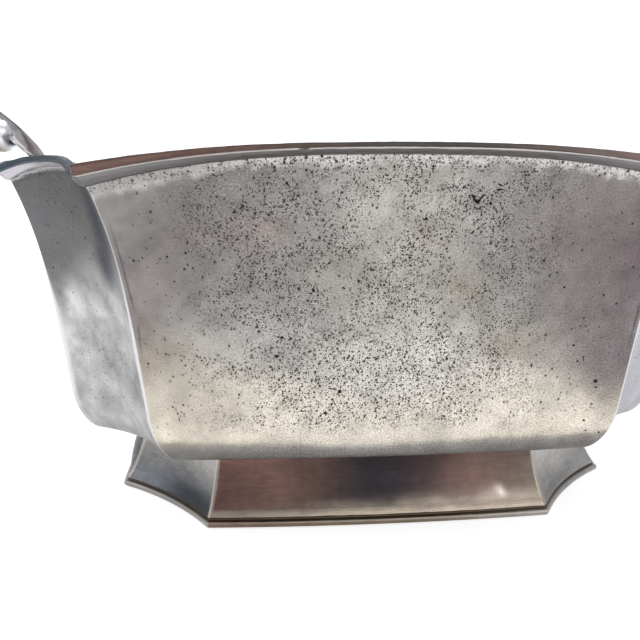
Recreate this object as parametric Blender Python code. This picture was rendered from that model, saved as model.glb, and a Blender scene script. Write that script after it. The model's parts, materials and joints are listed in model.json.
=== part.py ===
"""Sauce boat with hollowed corners, on a foot of the same plan.

Frame: metres, +Z up, origin on the table under the middle of the whole object's outline.
+X runs toward the pouring lip, -X toward the handle, and -Y is the front side.  Shapes are
worked out about the bowl's own centre, and an empty carries them to their place.

The bowl and the foot share one plan: two long sides, two ends and four hollow corners.
Each of those eight runs is a sheet of its own, mitred to its neighbours and soldered.  A
rim moulding and a base moulding, also in eight mitred lengths, stiffen the open edges.
A strap handle with a ball under its root joins the rim to the end wall.
"""
import math

import bmesh
import bpy
import numpy as np
from mathutils import Matrix

# Driving dimensions, in millimetres.
MM = 0.001                  # one millimetre in scene units
JOINT_GAP = 0.3             # clearance left for solder between neighbouring pieces

RIM_CORNER_Z = 73.9         # rim height at the eight corners
SIDE_RISE = 3.5             # how far the rim arches up over each run
CORNER_RISE = 1.7
HANDLE_END_RISE = 1.5
SPOUT_RISE = 5.0
RIM_ARCH = 2.6              # exponent of that arch: 2 is a parabola, more is flatter on top

RIM_X1, RIM_Y1 = 52.0, 47.3     # rim corner between a long side and a hollow corner
RIM_X2, RIM_Y2 = 71.8, 24.5     # rim corner between a hollow corner and an end
SIDE_BOW = 1.2              # long sides swell outward
CORNER_HOLLOW = -2.4        # corners curve inward
HANDLE_END_BOW = 1.5
SPOUT_REACH = 21.0          # pouring lip, beyond the straight line of its end

BOWL_BOTTOM_Z = 18.9        # underside of the bowl
WALL = 1.4                  # sheet thickness of the bowl
EDGE_SLOPE = 1.1            # the wall's top edge falls this much toward the inside
TURN_IN, TURN_RISE = 4.3, 9.8   # quarter ellipse where the walls turn under
TAPER = 5.2                 # straight lean of the walls, bottom to rim
FLARE = 3.4                 # extra outward curl below the rim
FLARE_START = 0.4           # share of the height where the curl begins
Y1_SHARE, X2_SHARE, Y2_SHARE = 0.84, 1.04, 0.47    # lean of each corner against x1's lean

LIP_OUT = 1.5               # ridge of the rim moulding, out from the wall
LIP_OUT_END = 2.8           # the same at the middle of each end
LIP_TOP_IN = 0.4            # top edge of the moulding, in from its ridge
LIP_FOOT_OUT = 0.6          # lower edge of the moulding, out from the wall
# Heights of the moulding's two faces: mid-run, at the long sides' corners, at the ends'.
UPPER_BAND = (0.9, 1.8, 1.0)
LOWER_BAND = (0.88, 1.6, 1.5)

FOOT_X1, FOOT_Y1 = 36.75, 29.75    # foot corner between a long side and a hollow corner
FOOT_X2, FOOT_Y2 = 58.2, 8.9    # foot corner between a hollow corner and an end
FOOT_AHEAD = 0.75           # the foot sits this far toward the pouring lip
FOOT_SIDE_BOW = 1.1
FOOT_CORNER_HOLLOW = -1.6
FOOT_END_BOW = 0.4
FOOT_END_SWELL = 2.3        # extra bow of the foot's ends, partway up
FOOT_SHEET = 1.4
FOOT_FLARE_IN = 5.2         # how far the foot draws in from its base to its neck
FOOT_EDGE_IN = 1.0          # lower edge of the foot sheets, in from the base moulding
BASE_HEIGHT = 2.0           # base moulding
BASE_DEPTH = 4.0

# Strap handle, by distance along it from the rim: (distance, size).
STRAP_WIDTHS = ((0.0, 6.4), (1.2, 8.2), (3.0, 8.8), (6.0, 7.2), (6.6, 4.0), (13.6, 4.0),
                (14.6, 6.4), (20.0, 7.6), (45.0, 8.0), (80.0, 8.0), (140.0, 5.0))
STRAP_THICKS = ((0.0, 1.3), (20.0, 1.4), (45.0, 1.8), (80.0, 1.8), (140.0, 1.2))
# How far the strap's upper face is domed.
STRAP_CROWNS = ((0.0, 0.1), (1.5, 0.5), (3.0, 1.1), (5.5, 1.7), (8.0, 2.0), (13.0, 2.0),
                (20.0, 1.5), (45.0, 1.2), (80.0, 1.2), (140.0, 0.5))
BALL_RADIUS = 3.95
BALL_ALONG = 10.1           # where along the strap the ball sits
BALL_DROP = 1.15            # ball's centre, below the middle of the strap

# The eight runs of the plan, counter-clockwise from the front: name and facet count.
RUNS = (
    ("front_side", 14), ("spout_front_corner", 6), ("spout_end", 12), ("spout_back_corner", 6),
    ("back_side", 14), ("handle_back_corner", 6), ("handle_end", 6), ("handle_front_corner", 6),
)
SPOUT_RUN = 2
TURN_ROWS = 5               # facets round the turn-under
WALL_ROWS = 6               # facets from there to the rim
FOOT_ROWS = 5

# Base colour, roughness.
BOWL_METAL = ((0.46, 0.44, 0.42), 0.38)
RIM_METAL = ((0.24, 0.20, 0.18), 0.34)
FOOT_METAL = ((0.30, 0.28, 0.29), 0.30)
BASE_METAL = ((0.26, 0.24, 0.20), 0.36)
HANDLE_METAL = ((0.62, 0.61, 0.60), 0.22)

UP = np.array((0.0, 0.0, 1.0))


# ---------------------------------------------------------------- scene

def clear_scene():
    for obj in list(bpy.data.objects):
        bpy.data.objects.remove(obj, do_unlink=True)


def new_collection(name):
    collection = bpy.data.collections.new(name)
    bpy.context.scene.collection.children.link(collection)
    return collection


def metal(name, look):
    colour, roughness = look
    material = bpy.data.materials.new(name)
    material.use_nodes = True
    shader = material.node_tree.nodes["Principled BSDF"]
    shader.inputs["Base Color"].default_value = (*colour, 1.0)
    shader.inputs["Metallic"].default_value = 1.0
    shader.inputs["Roughness"].default_value = roughness
    return material


def add_piece(name, bm, look, collection, sharp_angle=40.0):
    """Turn a bmesh in millimetres into a finished object in metres."""
    bmesh.ops.scale(bm, vec=(MM, MM, MM), verts=bm.verts)
    bmesh.ops.recalc_face_normals(bm, faces=bm.faces)
    if bm.calc_volume(signed=True) < 0.0:
        bmesh.ops.reverse_faces(bm, faces=bm.faces)
    mesh = bpy.data.meshes.new(name)
    bm.to_mesh(mesh)
    bm.free()
    mesh.shade_smooth()
    mesh.set_sharp_from_angle(angle=math.radians(sharp_angle))
    mesh.materials.append(metal(name + "_metal", look))
    obj = bpy.data.objects.new(name, mesh)
    collection.objects.link(obj)
    return obj


def sheet(name, outer, inner, look, collection):
    """A closed sheet between two grids of points, each of shape (rows, columns, 3)."""
    rows, columns = outer.shape[:2]
    bm = bmesh.new()
    bmesh.ops.create_grid(bm, x_segments=columns - 1, y_segments=rows - 1, size=0.5)
    top = bmesh.ops.extrude_face_region(bm, geom=bm.faces[:])
    raised = {item for item in top["geom"] if isinstance(item, bmesh.types.BMVert)}
    for vert in bm.verts:
        column = round((vert.co.x + 0.5) * (columns - 1))
        row = round((vert.co.y + 0.5) * (rows - 1))
        grid = outer if vert in raised else inner
        vert.co = grid[row, column]
    return add_piece(name, bm, look, collection)


# ---------------------------------------------------------------- plan

def unit(vectors):
    return vectors / np.linalg.norm(vectors, axis=-1, keepdims=True)


def run_starts():
    """Index in the ring where each run starts, and the ring's length at the end."""
    return np.concatenate(([0], np.cumsum([count for _, count in RUNS])))


def arch(run, share, power=2.0):
    """Shape of a bow along a run: 0 at its corners, 1 at its middle."""
    if run == SPOUT_RUN:
        return np.sin(np.pi * share) ** 1.5
    return 1.0 - abs(2.0 * share - 1.0) ** power


def plan_corners(x1, y1, x2, y2):
    return np.array((
        (-x1, -y1), (x1, -y1), (x2, -y2), (x2, y2),
        (x1, y1), (-x1, y1), (-x2, y2), (-x2, -y2)))


def plan_ring(corners, bows):
    """Closed ring of plan points: eight runs, each bowed off its chord."""
    points = []
    for run, (_, count) in enumerate(RUNS):
        start = corners[run]
        chord = corners[(run + 1) % 8] - start
        outward = unit(np.array((chord[1], -chord[0])))
        for share in np.arange(count) / count:
            points.append(start + chord * share + outward * bows[run] * arch(run, share))
    return np.array(points)


def run_bows(side, corner, handle_end, spout):
    return (side, corner, spout, corner, side, corner, handle_end, corner)


def along_runs(at_middles, at_corners):
    """A value for each ring point, from the values at the corners and at mid-run."""
    values = []
    for run, (_, count) in enumerate(RUNS):
        start, end = at_corners[run], at_corners[(run + 1) % 8]
        for share in np.arange(count) / count:
            straight = start + (end - start) * share
            blend = arch(run, share, RIM_ARCH)
            values.append(straight + (at_middles[run] - straight) * blend)
    return np.array(values)


def run_columns(run):
    """Ring indices of one run, its closing corner included."""
    starts = run_starts()
    return np.arange(starts[run], starts[run + 1] + 1) % starts[-1]


def open_joints(grid):
    """Draw the first and last columns back by half the joint gap."""
    grid = grid.copy()
    grid[:, 0] += unit(grid[:, 1] - grid[:, 0]) * JOINT_GAP / 2
    grid[:, -1] += unit(grid[:, -2] - grid[:, -1]) * JOINT_GAP / 2
    return grid


def run_sheet(name, run, outer, inner, look, collection):
    columns = run_columns(run)
    return sheet(name, open_joints(outer[:, columns]), open_joints(inner[:, columns]),
                 look, collection)


# ---------------------------------------------------------------- bowl

RIM_Z = RIM_CORNER_Z + along_runs(
    run_bows(SIDE_RISE, CORNER_RISE, HANDLE_END_RISE, SPOUT_RISE), [0.0] * 8)


def wall_out(share):
    """How far the wall stands out from its bottom edge, at a share of its height."""
    height = share * (RIM_CORNER_Z - BOWL_BOTTOM_Z)
    turned = 1.0 - min(height, TURN_RISE) / TURN_RISE
    curl = max(0.0, (share - FLARE_START) / (1.0 - FLARE_START))
    return TURN_IN * math.sqrt(1.0 - turned ** 2) + TAPER * share + FLARE * curl ** 3


def wall_ring(share):
    """Ring of points on the bowl's outer surface, at a share of the wall's height."""
    lean = TURN_IN + TAPER + FLARE - wall_out(share)
    spout = SPOUT_REACH * max(0.0, (share - 0.2) / 0.8) ** 1.8
    corners = plan_corners(RIM_X1 - lean, RIM_Y1 - Y1_SHARE * lean,
                           RIM_X2 - X2_SHARE * lean, RIM_Y2 - Y2_SHARE * lean)
    plan = plan_ring(corners, run_bows(SIDE_BOW, CORNER_HOLLOW, HANDLE_END_BOW, spout))
    height = BOWL_BOTTOM_Z + share * (RIM_Z - BOWL_BOTTOM_Z)
    return np.column_stack((plan, height))


def wall_shares():
    """Heights of the wall's rows, as shares: even steps round the turn, then up."""
    turn_top = TURN_RISE / (RIM_CORNER_Z - BOWL_BOTTOM_Z)
    angles = np.linspace(0.0, math.pi / 2, TURN_ROWS + 1)
    turn = turn_top * (1.0 - np.cos(angles))
    return np.concatenate((turn, np.linspace(turn_top, 1.0, WALL_ROWS + 1)[1:]))


def mitred_normals(grid):
    """Offset direction at each point of a closed grid, mitred where two faces meet."""
    up_the_wall = np.gradient(grid, axis=0)
    after = np.roll(grid, -1, axis=1) - grid
    before = grid - np.roll(grid, 1, axis=1)
    normal_after = unit(np.cross(after, up_the_wall))
    normal_before = unit(np.cross(before, up_the_wall))
    together = 1.0 + np.sum(normal_after * normal_before, axis=-1, keepdims=True)
    return (normal_after + normal_before) / together


def bowl_grids():
    outer = np.array([wall_ring(share) for share in wall_shares()])
    normals = mitred_normals(outer)
    normals[0] = -UP
    normals[-1, :, 2] = 0.0
    inner = outer - normals * WALL
    inner[-1, :, 2] -= EDGE_SLOPE
    return outer, inner


def make_bowl(collection):
    outer, inner = bowl_grids()
    for run, (name, _) in enumerate(RUNS):
        run_sheet("bowl_" + name, run, outer, inner, BOWL_METAL, collection)


def plate(name, plan, bottom, thickness, look, collection):
    """A flat plate on an outline, made as a filled curve."""
    curve = bpy.data.curves.new(name, "CURVE")
    curve.dimensions = "2D"
    curve.fill_mode = "BOTH"
    curve.extrude = thickness * MM / 2
    spline = curve.splines.new("POLY")
    spline.points.add(len(plan) - 1)
    for point, (x, y) in zip(spline.points, plan):
        point.co = (x * MM, y * MM, 0.0, 1.0)
    spline.use_cyclic_u = True
    curve.materials.append(metal(name + "_metal", look))
    obj = bpy.data.objects.new(name, curve)
    obj.location.z = (bottom + thickness / 2) * MM
    collection.objects.link(obj)
    return obj


def make_bowl_bottom(collection):
    ring = wall_ring(0.0)
    inward = plan_offset(ring[:, :2], -JOINT_GAP)
    plate("bowl_bottom", inward, BOWL_BOTTOM_Z, WALL, BOWL_METAL, collection)


def plan_offset(plan, distance):
    """Offset a closed plan outline, outward for a positive distance."""
    after = unit(np.roll(plan, -1, axis=0) - plan)
    before = np.roll(after, 1, axis=0)
    normal_after = np.column_stack((after[:, 1], -after[:, 0]))
    normal_before = np.column_stack((before[:, 1], -before[:, 0]))
    together = 1.0 + np.sum(normal_after * normal_before, axis=-1, keepdims=True)
    return plan + (normal_after + normal_before) / together * distance


# ---------------------------------------------------------------- rim moulding

def wall_at(depth):
    """Ring on the wall's outer surface, a given depth below the rim at each point."""
    wall_height = RIM_Z - BOWL_BOTTOM_Z
    below = np.array([wall_ring(1.0), wall_ring(0.9)])
    share = (depth / wall_height / 0.1)[:, None]
    return below[0] + (below[1] - below[0]) * share


def band_heights(mid, side_corner, end_corner):
    pair = (side_corner, side_corner, end_corner, end_corner)
    return along_runs((mid,) * 8, pair + pair)


def make_rim(collection):
    upper = band_heights(*UPPER_BAND)
    lower = band_heights(*LOWER_BAND)
    ridge_out = along_runs(run_bows(LIP_OUT, LIP_OUT, LIP_OUT_END, LIP_OUT_END),
                           (LIP_OUT,) * 8)
    rows = (
        (np.zeros_like(upper), ridge_out - LIP_TOP_IN),
        (upper, ridge_out),
        (upper + lower, np.full_like(upper, LIP_FOOT_OUT)),
    )
    outer = []
    inner = []
    for depth, out in rows:
        ring = wall_at(depth)
        direction = plan_offset(ring[:, :2], 1.0) - ring[:, :2]
        direction = np.column_stack((direction, np.zeros(len(direction))))
        outer.append(ring + direction * out[:, None])
        inner.append(ring + direction * JOINT_GAP)
    # Rows run from the lower edge up, as the wall's do.
    outer = np.array(outer[::-1])
    inner = np.array(inner[::-1])
    for run, (name, _) in enumerate(RUNS):
        run_sheet("rim_" + name, run, outer, inner, RIM_METAL, collection)


# ---------------------------------------------------------------- foot

def foot_plan(inset, swell=0.0):
    """Plan of the foot, a distance in from the outer edge of its base moulding."""
    corners = plan_corners(FOOT_X1, FOOT_Y1, FOOT_X2, FOOT_Y2)
    end_bow = FOOT_END_BOW + swell
    bows = run_bows(FOOT_SIDE_BOW, FOOT_CORNER_HOLLOW, end_bow, end_bow)
    return plan_ring(plan_offset(corners, -inset), bows) + (FOOT_AHEAD, 0.0)


def level(plan, height):
    return np.column_stack((plan, np.full(len(plan), height)))


def make_foot(collection):
    low = BASE_HEIGHT + JOINT_GAP
    high = BOWL_BOTTOM_Z - JOINT_GAP
    outer = []
    inner = []
    for share in np.linspace(0.0, 1.0, FOOT_ROWS + 1):
        inset = FOOT_EDGE_IN + FOOT_FLARE_IN * (1.0 - (1.0 - share) ** 2)
        height = low + (high - low) * share
        swell = FOOT_END_SWELL * math.sin(math.pi * share ** 0.8)
        outer.append(level(foot_plan(inset, swell), height))
        inner.append(level(foot_plan(inset + FOOT_SHEET, swell), height))
    for run, (name, _) in enumerate(RUNS):
        run_sheet("foot_" + name, run, np.array(outer), np.array(inner), FOOT_METAL, collection)


def make_base(collection):
    """Base moulding: a bead outside, flat underneath."""
    bead = BASE_HEIGHT / 2
    outer = []
    inner = []
    for angle in np.linspace(-math.pi / 2, math.pi / 2, 5):
        height = bead + bead * math.sin(angle)
        outer.append(level(foot_plan(bead * 0.6 * (1.0 - math.cos(angle))), height))
        inner.append(level(foot_plan(BASE_DEPTH), height))
    for run, (name, _) in enumerate(RUNS):
        run_sheet("base_" + name, run, np.array(outer), np.array(inner), BASE_METAL, collection)


# ---------------------------------------------------------------- handle

def strap_path():
    """Centre line of the strap in the X-Z plane, from the rim out to its curled tail."""
    root = np.array((-RIM_X2 - HANDLE_END_BOW, RIM_CORNER_Z + HANDLE_END_RISE + JOINT_GAP))
    knots = np.array((
        (0.7, 0.0), (0.1, 0.7), (-1.0, 1.85), (-2.6, 3.05),         # turned up off the rim
        (-12.5, 11.3), (-21.0, 19.5), (-30.0, 18.0),                # up and over
        (-42.0, 16.0), (-47.0, -4.0), (-37.0, -17.0),               # down the grip
        (-30.0, -26.0), (-17.0, -24.0), (-18.5, -15.0),             # back under
        (-19.5, -9.0), (-27.0, -10.0), (-26.0, -15.0)))             # tail curled in
    return bezier_chain(root + knots)


def bezier_chain(knots, steps=13):
    """Points along joined cubic Bezier spans that share their end knots."""
    points = [knots[0]]
    for first in range(0, len(knots) - 1, 3):
        a, b, c, d = knots[first:first + 4]
        for t in np.linspace(0.0, 1.0, steps + 1)[1:]:
            u = 1.0 - t
            points.append(u ** 3 * a + 3 * t * u * u * b + 3 * t * t * u * c + t ** 3 * d)
    return np.array(points)


def distances_along(path):
    lengths = np.linalg.norm(np.diff(path, axis=0), axis=1)
    return np.concatenate(([0.0], np.cumsum(lengths)))


def path_normals(path):
    """Unit normals of a path in the X-Z plane, on the side that faces up and outward."""
    tangent = unit(np.gradient(path, axis=0))
    return np.column_stack((tangent[:, 1], -tangent[:, 0]))


def from_table(table, distances):
    stations, values = zip(*table)
    return np.interp(distances, stations, values)


def make_strap(collection):
    """The strap: flat below and domed above, its width and thickness tapered."""
    path = strap_path()
    normals = path_normals(path)
    normals[0] = (1.0, 0.0)
    along = distances_along(path)
    half_width = from_table(STRAP_WIDTHS, along) / 2
    half_thick = from_table(STRAP_THICKS, along) / 2
    crown = from_table(STRAP_CROWNS, along)
    upper = []
    lower = []
    for across in (-1.0, -0.7, -0.35, 0.0, 0.35, 0.7, 1.0):
        rise = half_thick + crown * (1.0 - across ** 2)
        above = path + normals * rise[:, None]
        below = path - normals * half_thick[:, None]
        upper.append(np.column_stack((above[:, 0], half_width * across, above[:, 1])))
        lower.append(np.column_stack((below[:, 0], half_width * across, below[:, 1])))
    sheet("handle_strap", np.array(upper), np.array(lower), HANDLE_METAL, collection)


def groove_cutter(middle, up, collection):
    """Block whose floor lies just under the strap, leaving the strap its clearance."""
    width = from_table(STRAP_WIDTHS, BALL_ALONG) + 2 * JOINT_GAP
    floor = from_table(STRAP_THICKS, BALL_ALONG) / 2 + JOINT_GAP
    size = 4 * BALL_RADIUS
    bm = bmesh.new()
    bmesh.ops.create_cube(bm, size=1.0)
    bmesh.ops.scale(bm, vec=(size, width, size), verts=bm.verts)
    bmesh.ops.translate(bm, vec=(0.0, 0.0, size / 2 - floor), verts=bm.verts)
    turn = Matrix.Rotation(math.atan2(up[0], up[1]), 3, "Y")
    bmesh.ops.rotate(bm, cent=(0.0, 0.0, 0.0), matrix=turn, verts=bm.verts)
    bmesh.ops.translate(bm, vec=(middle[0], 0.0, middle[1]), verts=bm.verts)
    cutter = add_piece("ball_groove", bm, HANDLE_METAL, collection)
    cutter.hide_render = True
    cutter.display_type = "WIRE"
    return cutter


def make_ball(collection, cutters):
    """Ball under the strap, with a groove that the strap lies in."""
    path = strap_path()
    station = int(np.argmin(abs(distances_along(path) - BALL_ALONG)))
    up = path_normals(path)[station]
    centre = path[station] - up * BALL_DROP
    bm = bmesh.new()
    bmesh.ops.create_uvsphere(bm, u_segments=24, v_segments=14, radius=BALL_RADIUS)
    bmesh.ops.translate(bm, vec=(centre[0], 0.0, centre[1]), verts=bm.verts)
    ball = add_piece("handle_ball", bm, HANDLE_METAL, collection)
    cut = ball.modifiers.new("groove", "BOOLEAN")
    cut.operation = "DIFFERENCE"
    cut.solver = "EXACT"
    cut.object = groove_cutter(path[station], up, cutters)


# ---------------------------------------------------------------- placing

def place_over_origin(collection, cutters):
    """Carry everything on an empty, so the origin is under the middle of the outline."""
    reach = [vert.co.x for obj in collection.objects if obj.type == "MESH"
             for vert in obj.data.vertices]
    carrier = bpy.data.objects.new("outline_middle", None)
    carrier.location.x = -(min(reach) + max(reach)) / 2
    collection.objects.link(carrier)
    for obj in [*collection.objects, *cutters.objects]:
        if obj != carrier:
            obj.parent = carrier


def main():
    clear_scene()
    collection = new_collection("sauce_boat")
    cutters = new_collection("cutters")
    make_bowl(collection)
    make_bowl_bottom(collection)
    make_rim(collection)
    make_foot(collection)
    make_base(collection)
    make_strap(collection)
    make_ball(collection, cutters)
    place_over_origin(collection, cutters)


main()
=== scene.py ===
"""Looks of the sauce boat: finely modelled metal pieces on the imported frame, in a pale studio.

Shapes are worked out in millimetres about the bowl's own centre, with +X toward the pouring
lip and -Y toward the front, then carried to their place in the frame in metres.
"""
import json
import math
from functools import partialmethod

import bpy
import numpy as np
from mathutils import Matrix, Vector

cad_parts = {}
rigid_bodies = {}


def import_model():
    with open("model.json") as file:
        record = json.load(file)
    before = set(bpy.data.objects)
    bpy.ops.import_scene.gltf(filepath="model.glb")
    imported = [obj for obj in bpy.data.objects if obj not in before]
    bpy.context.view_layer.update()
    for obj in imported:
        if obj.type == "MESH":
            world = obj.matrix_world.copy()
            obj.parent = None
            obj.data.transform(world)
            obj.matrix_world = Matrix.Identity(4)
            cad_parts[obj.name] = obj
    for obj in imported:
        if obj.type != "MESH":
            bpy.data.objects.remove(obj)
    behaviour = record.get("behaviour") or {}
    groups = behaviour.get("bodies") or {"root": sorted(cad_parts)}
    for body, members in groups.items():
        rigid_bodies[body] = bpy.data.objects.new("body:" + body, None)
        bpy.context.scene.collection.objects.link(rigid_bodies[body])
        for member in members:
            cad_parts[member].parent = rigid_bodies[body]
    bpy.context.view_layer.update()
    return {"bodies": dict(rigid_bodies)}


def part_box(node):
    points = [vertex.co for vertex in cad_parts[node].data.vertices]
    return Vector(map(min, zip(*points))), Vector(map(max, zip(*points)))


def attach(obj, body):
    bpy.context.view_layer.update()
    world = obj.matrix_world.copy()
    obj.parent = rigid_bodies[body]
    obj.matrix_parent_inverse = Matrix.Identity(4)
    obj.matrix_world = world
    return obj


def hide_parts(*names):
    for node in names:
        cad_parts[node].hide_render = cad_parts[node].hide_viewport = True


MM = 0.001

# Sizes of the object, in millimetres. They are those of its solid model.
RIM_CORNER_Z = 73.9
SIDE_RISE, CORNER_RISE, HANDLE_END_RISE, SPOUT_RISE = 3.5, 1.7, 1.5, 5.0
RIM_ARCH = 2.6
RIM_X1, RIM_Y1 = 52.0, 47.3
RIM_X2, RIM_Y2 = 71.8, 24.5
SIDE_BOW, CORNER_HOLLOW, HANDLE_END_BOW, SPOUT_REACH = 1.2, -2.4, 1.5, 21.0
BOWL_BOTTOM_Z = 18.9
WALL, EDGE_SLOPE = 1.4, 1.1
TURN_IN, TURN_RISE = 4.3, 9.8
TAPER, FLARE, FLARE_START = 5.2, 3.4, 0.4
Y1_SHARE, X2_SHARE, Y2_SHARE = 0.84, 1.04, 0.47
LIP_OUT, LIP_OUT_END, LIP_TOP_IN, LIP_FOOT_OUT = 1.5, 2.8, 0.4, 0.6
UPPER_BAND = (0.9, 1.8, 1.0)
LOWER_BAND = (0.88, 1.6, 1.5)
FOOT_X1, FOOT_Y1 = 36.75, 29.75
FOOT_X2, FOOT_Y2 = 58.2, 8.9
FOOT_AHEAD = 0.75
FOOT_SIDE_BOW, FOOT_CORNER_HOLLOW, FOOT_END_BOW, FOOT_END_SWELL = 1.1, -1.6, 0.4, 2.3
FOOT_SHEET, FOOT_FLARE_IN, FOOT_EDGE_IN = 1.4, 5.2, 1.0
BASE_HEIGHT, BASE_DEPTH = 2.0, 4.0
STRAP_WIDTHS = ((0.0, 6.4), (1.2, 8.2), (3.0, 8.8), (6.0, 7.2), (6.8, 4.0), (13.6, 4.0),
                (14.6, 6.4), (20.0, 7.6), (45.0, 8.0), (80.0, 8.0), (140.0, 5.0))
STRAP_THICKS = ((0.0, 1.3), (20.0, 1.4), (45.0, 1.8), (80.0, 1.8), (140.0, 1.2))
STRAP_CROWNS = ((0.0, 0.1), (1.5, 0.5), (3.0, 1.1), (5.5, 1.7), (8.0, 2.0), (13.0, 2.0),
                (20.0, 1.5), (45.0, 1.2), (80.0, 1.2), (140.0, 0.5))
BALL_RADIUS, BALL_ALONG, BALL_DROP = 3.95, 10.1, 1.15

RUNS = ("front_side", "spout_front_corner", "spout_end", "spout_back_corner",
        "back_side", "handle_back_corner", "handle_end", "handle_front_corner")
SPOUT_RUN = 2
LONG_RUNS = (0, 4)
CORNER_RUNS = (1, 3, 5, 7)

# Fineness of the modelled surfaces, in millimetres.
WALL_CELL = 0.4
INNER_STEP = 4              # the inside is this many times coarser
ARRIS_STATIONS = (0.0, 0.08, 0.16, 0.25, 0.35, 0.46, 0.6, 0.76, 0.95, 1.15, 1.4, 1.7)
ARRIS_RADIUS = 0.8
FOOT_CELL, FOOT_STATIONS = 0.8, (0.0, 0.1, 0.2, 0.32, 0.46, 0.62, 0.82, 1.1, 1.5)
RIM_CELL, RIM_STATIONS = 0.7, (0.0, 0.06, 0.14, 0.3, 0.6)
FOOT_ARRIS_RADIUS, BASE_ARRIS_RADIUS = 0.7, 0.35

LATTICE = 64                # the noise repeats after this many cells
JOSTLE = 0.3                # how far surface points are shifted, as a share of a cell

# Each piece reads its own layer of the noise patterns, this many millimetres from the next.
PATTERN_STEP = 60.0
BOTTOM_PATTERN, STRAP_PATTERN, BALL_PATTERN = 500.0, 700.0, 800.0
UNSEEN = -1.0               # the distance from a seam that marks the inside of a sheet
FAR_FROM_SEAM = 9.0
SEED = 20

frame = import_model()
root = next(iter(frame["bodies"]))
low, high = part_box("bowl_front_side")
BOWL_MIDDLE = Vector(((low.x + high.x) / 2, 0.0, 0.0))
chance = np.random.default_rng(SEED)


# ---------------------------------------------------------------- small mathematics

def unit(vectors):
    return vectors / np.maximum(np.linalg.norm(vectors, axis=-1, keepdims=True), 1e-12)


def smooth(value, start, end):
    """0 before start, 1 after end, with soft ends. start may be the larger."""
    share = np.clip((value - start) / (end - start), 0.0, 1.0)
    return share * share * (3.0 - 2.0 * share)


def soft_noise(x, y, cell, seed):
    """Random field from -1 to 1, with features about one cell wide."""
    lattice = np.random.default_rng(seed).uniform(-1.0, 1.0, (LATTICE, LATTICE))
    column, row = np.floor(x / cell).astype(int), np.floor(y / cell).astype(int)
    right, up = x / cell - column, y / cell - row
    right, up = right ** 2 * (3.0 - 2.0 * right), up ** 2 * (3.0 - 2.0 * up)

    def at(c, r):
        return lattice[c % LATTICE, r % LATTICE]

    lower = at(column, row) * (1.0 - right) + at(column + 1, row) * right
    upper = at(column, row + 1) * (1.0 - right) + at(column + 1, row + 1) * right
    return lower * (1.0 - up) + upper * up


def two_noises(x, y, seed, coarse, fine):
    """The sum of two random fields, each given as an amount and a cell."""
    return (coarse[0] * soft_noise(x, y, coarse[1], seed)
            + fine[0] * soft_noise(x, y, fine[1], seed + 10))


def from_table(table, distances):
    stations, values = zip(*table)
    return np.interp(distances, stations, values)


# ---------------------------------------------------------------- the plan and its runs

def arch(run, share, power=2.0):
    if run == SPOUT_RUN:
        return np.sin(np.pi * share) ** 1.5
    return 1.0 - abs(2.0 * share - 1.0) ** power


def plan_corners(x1, y1, x2, y2):
    return np.array((
        (-x1, -y1), (x1, -y1), (x2, -y2), (x2, y2),
        (x1, y1), (-x1, y1), (-x2, y2), (-x2, -y2)))


def run_bows(side, corner, handle_end, spout):
    return (side, corner, spout, corner, side, corner, handle_end, corner)


def plan_offset(plan, distance):
    after = unit(np.roll(plan, -1, axis=0) - plan)
    before = np.roll(after, 1, axis=0)
    normal_after = np.column_stack((after[:, 1], -after[:, 0]))
    normal_before = np.column_stack((before[:, 1], -before[:, 0]))
    together = 1.0 + np.sum(normal_after * normal_before, axis=-1, keepdims=True)
    return plan + (normal_after + normal_before) / together * distance


class Ring:
    """Columns round the plan, closer together where two runs meet."""

    def __init__(self, corners, cell, near_corner=ARRIS_STATIONS):
        self.shares = []
        for run in range(8):
            length = np.linalg.norm(corners[(run + 1) % 8] - corners[run])
            edge = np.array(near_corner) / length
            steps = max(4, 4 * round(length / cell / 4))
            middle = np.linspace(edge[-1], 1.0 - edge[-1], steps + 1)
            shares = np.concatenate((edge[:-1], middle, 1.0 - edge[:-1][::-1]))
            extra = (len(shares) - 1) % INNER_STEP
            if extra:
                middle = np.linspace(edge[-1], 1.0 - edge[-1], steps + 1 + INNER_STEP - extra)
                shares = np.concatenate((edge[:-1], middle, 1.0 - edge[:-1][::-1]))
            self.shares.append(shares[:-1])
        self.starts = np.concatenate(([0], np.cumsum([len(s) for s in self.shares])))

    def columns(self, run):
        return np.arange(self.starts[run], self.starts[run + 1] + 1) % self.starts[-1]

    def plan(self, corners, bows):
        points = []
        for run, shares in enumerate(self.shares):
            start, chord = corners[run], corners[(run + 1) % 8] - corners[run]
            outward = unit(np.array((chord[1], -chord[0])))
            bow = bows[run] * arch(run, shares)
            points.append(start + chord * shares[:, None] + outward * bow[:, None])
        return np.concatenate(points)

    def along(self, at_middles, at_corners):
        values = []
        for run, shares in enumerate(self.shares):
            start, end = at_corners[run], at_corners[(run + 1) % 8]
            straight = start + (end - start) * shares
            values.append(straight + (at_middles[run] - straight) * arch(run, shares, RIM_ARCH))
        return np.concatenate(values)


def mitred_normals(grid):
    up_the_wall = np.gradient(grid, axis=0)
    normal_after = unit(np.cross(np.roll(grid, -1, axis=1) - grid, up_the_wall))
    normal_before = unit(np.cross(grid - np.roll(grid, 1, axis=1), up_the_wall))
    together = 1.0 + np.sum(normal_after * normal_before, axis=-1, keepdims=True)
    return (normal_after + normal_before) / together


def grid_normals(grid):
    return unit(np.cross(np.gradient(grid, axis=1), np.gradient(grid, axis=0)))


def along_mm(grid):
    """Distance along a run from its first column, by row."""
    steps = np.linalg.norm(np.diff(grid, axis=1), axis=-1)
    return np.concatenate((np.zeros((len(grid), 1)), np.cumsum(steps, axis=1)), axis=1)


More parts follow.
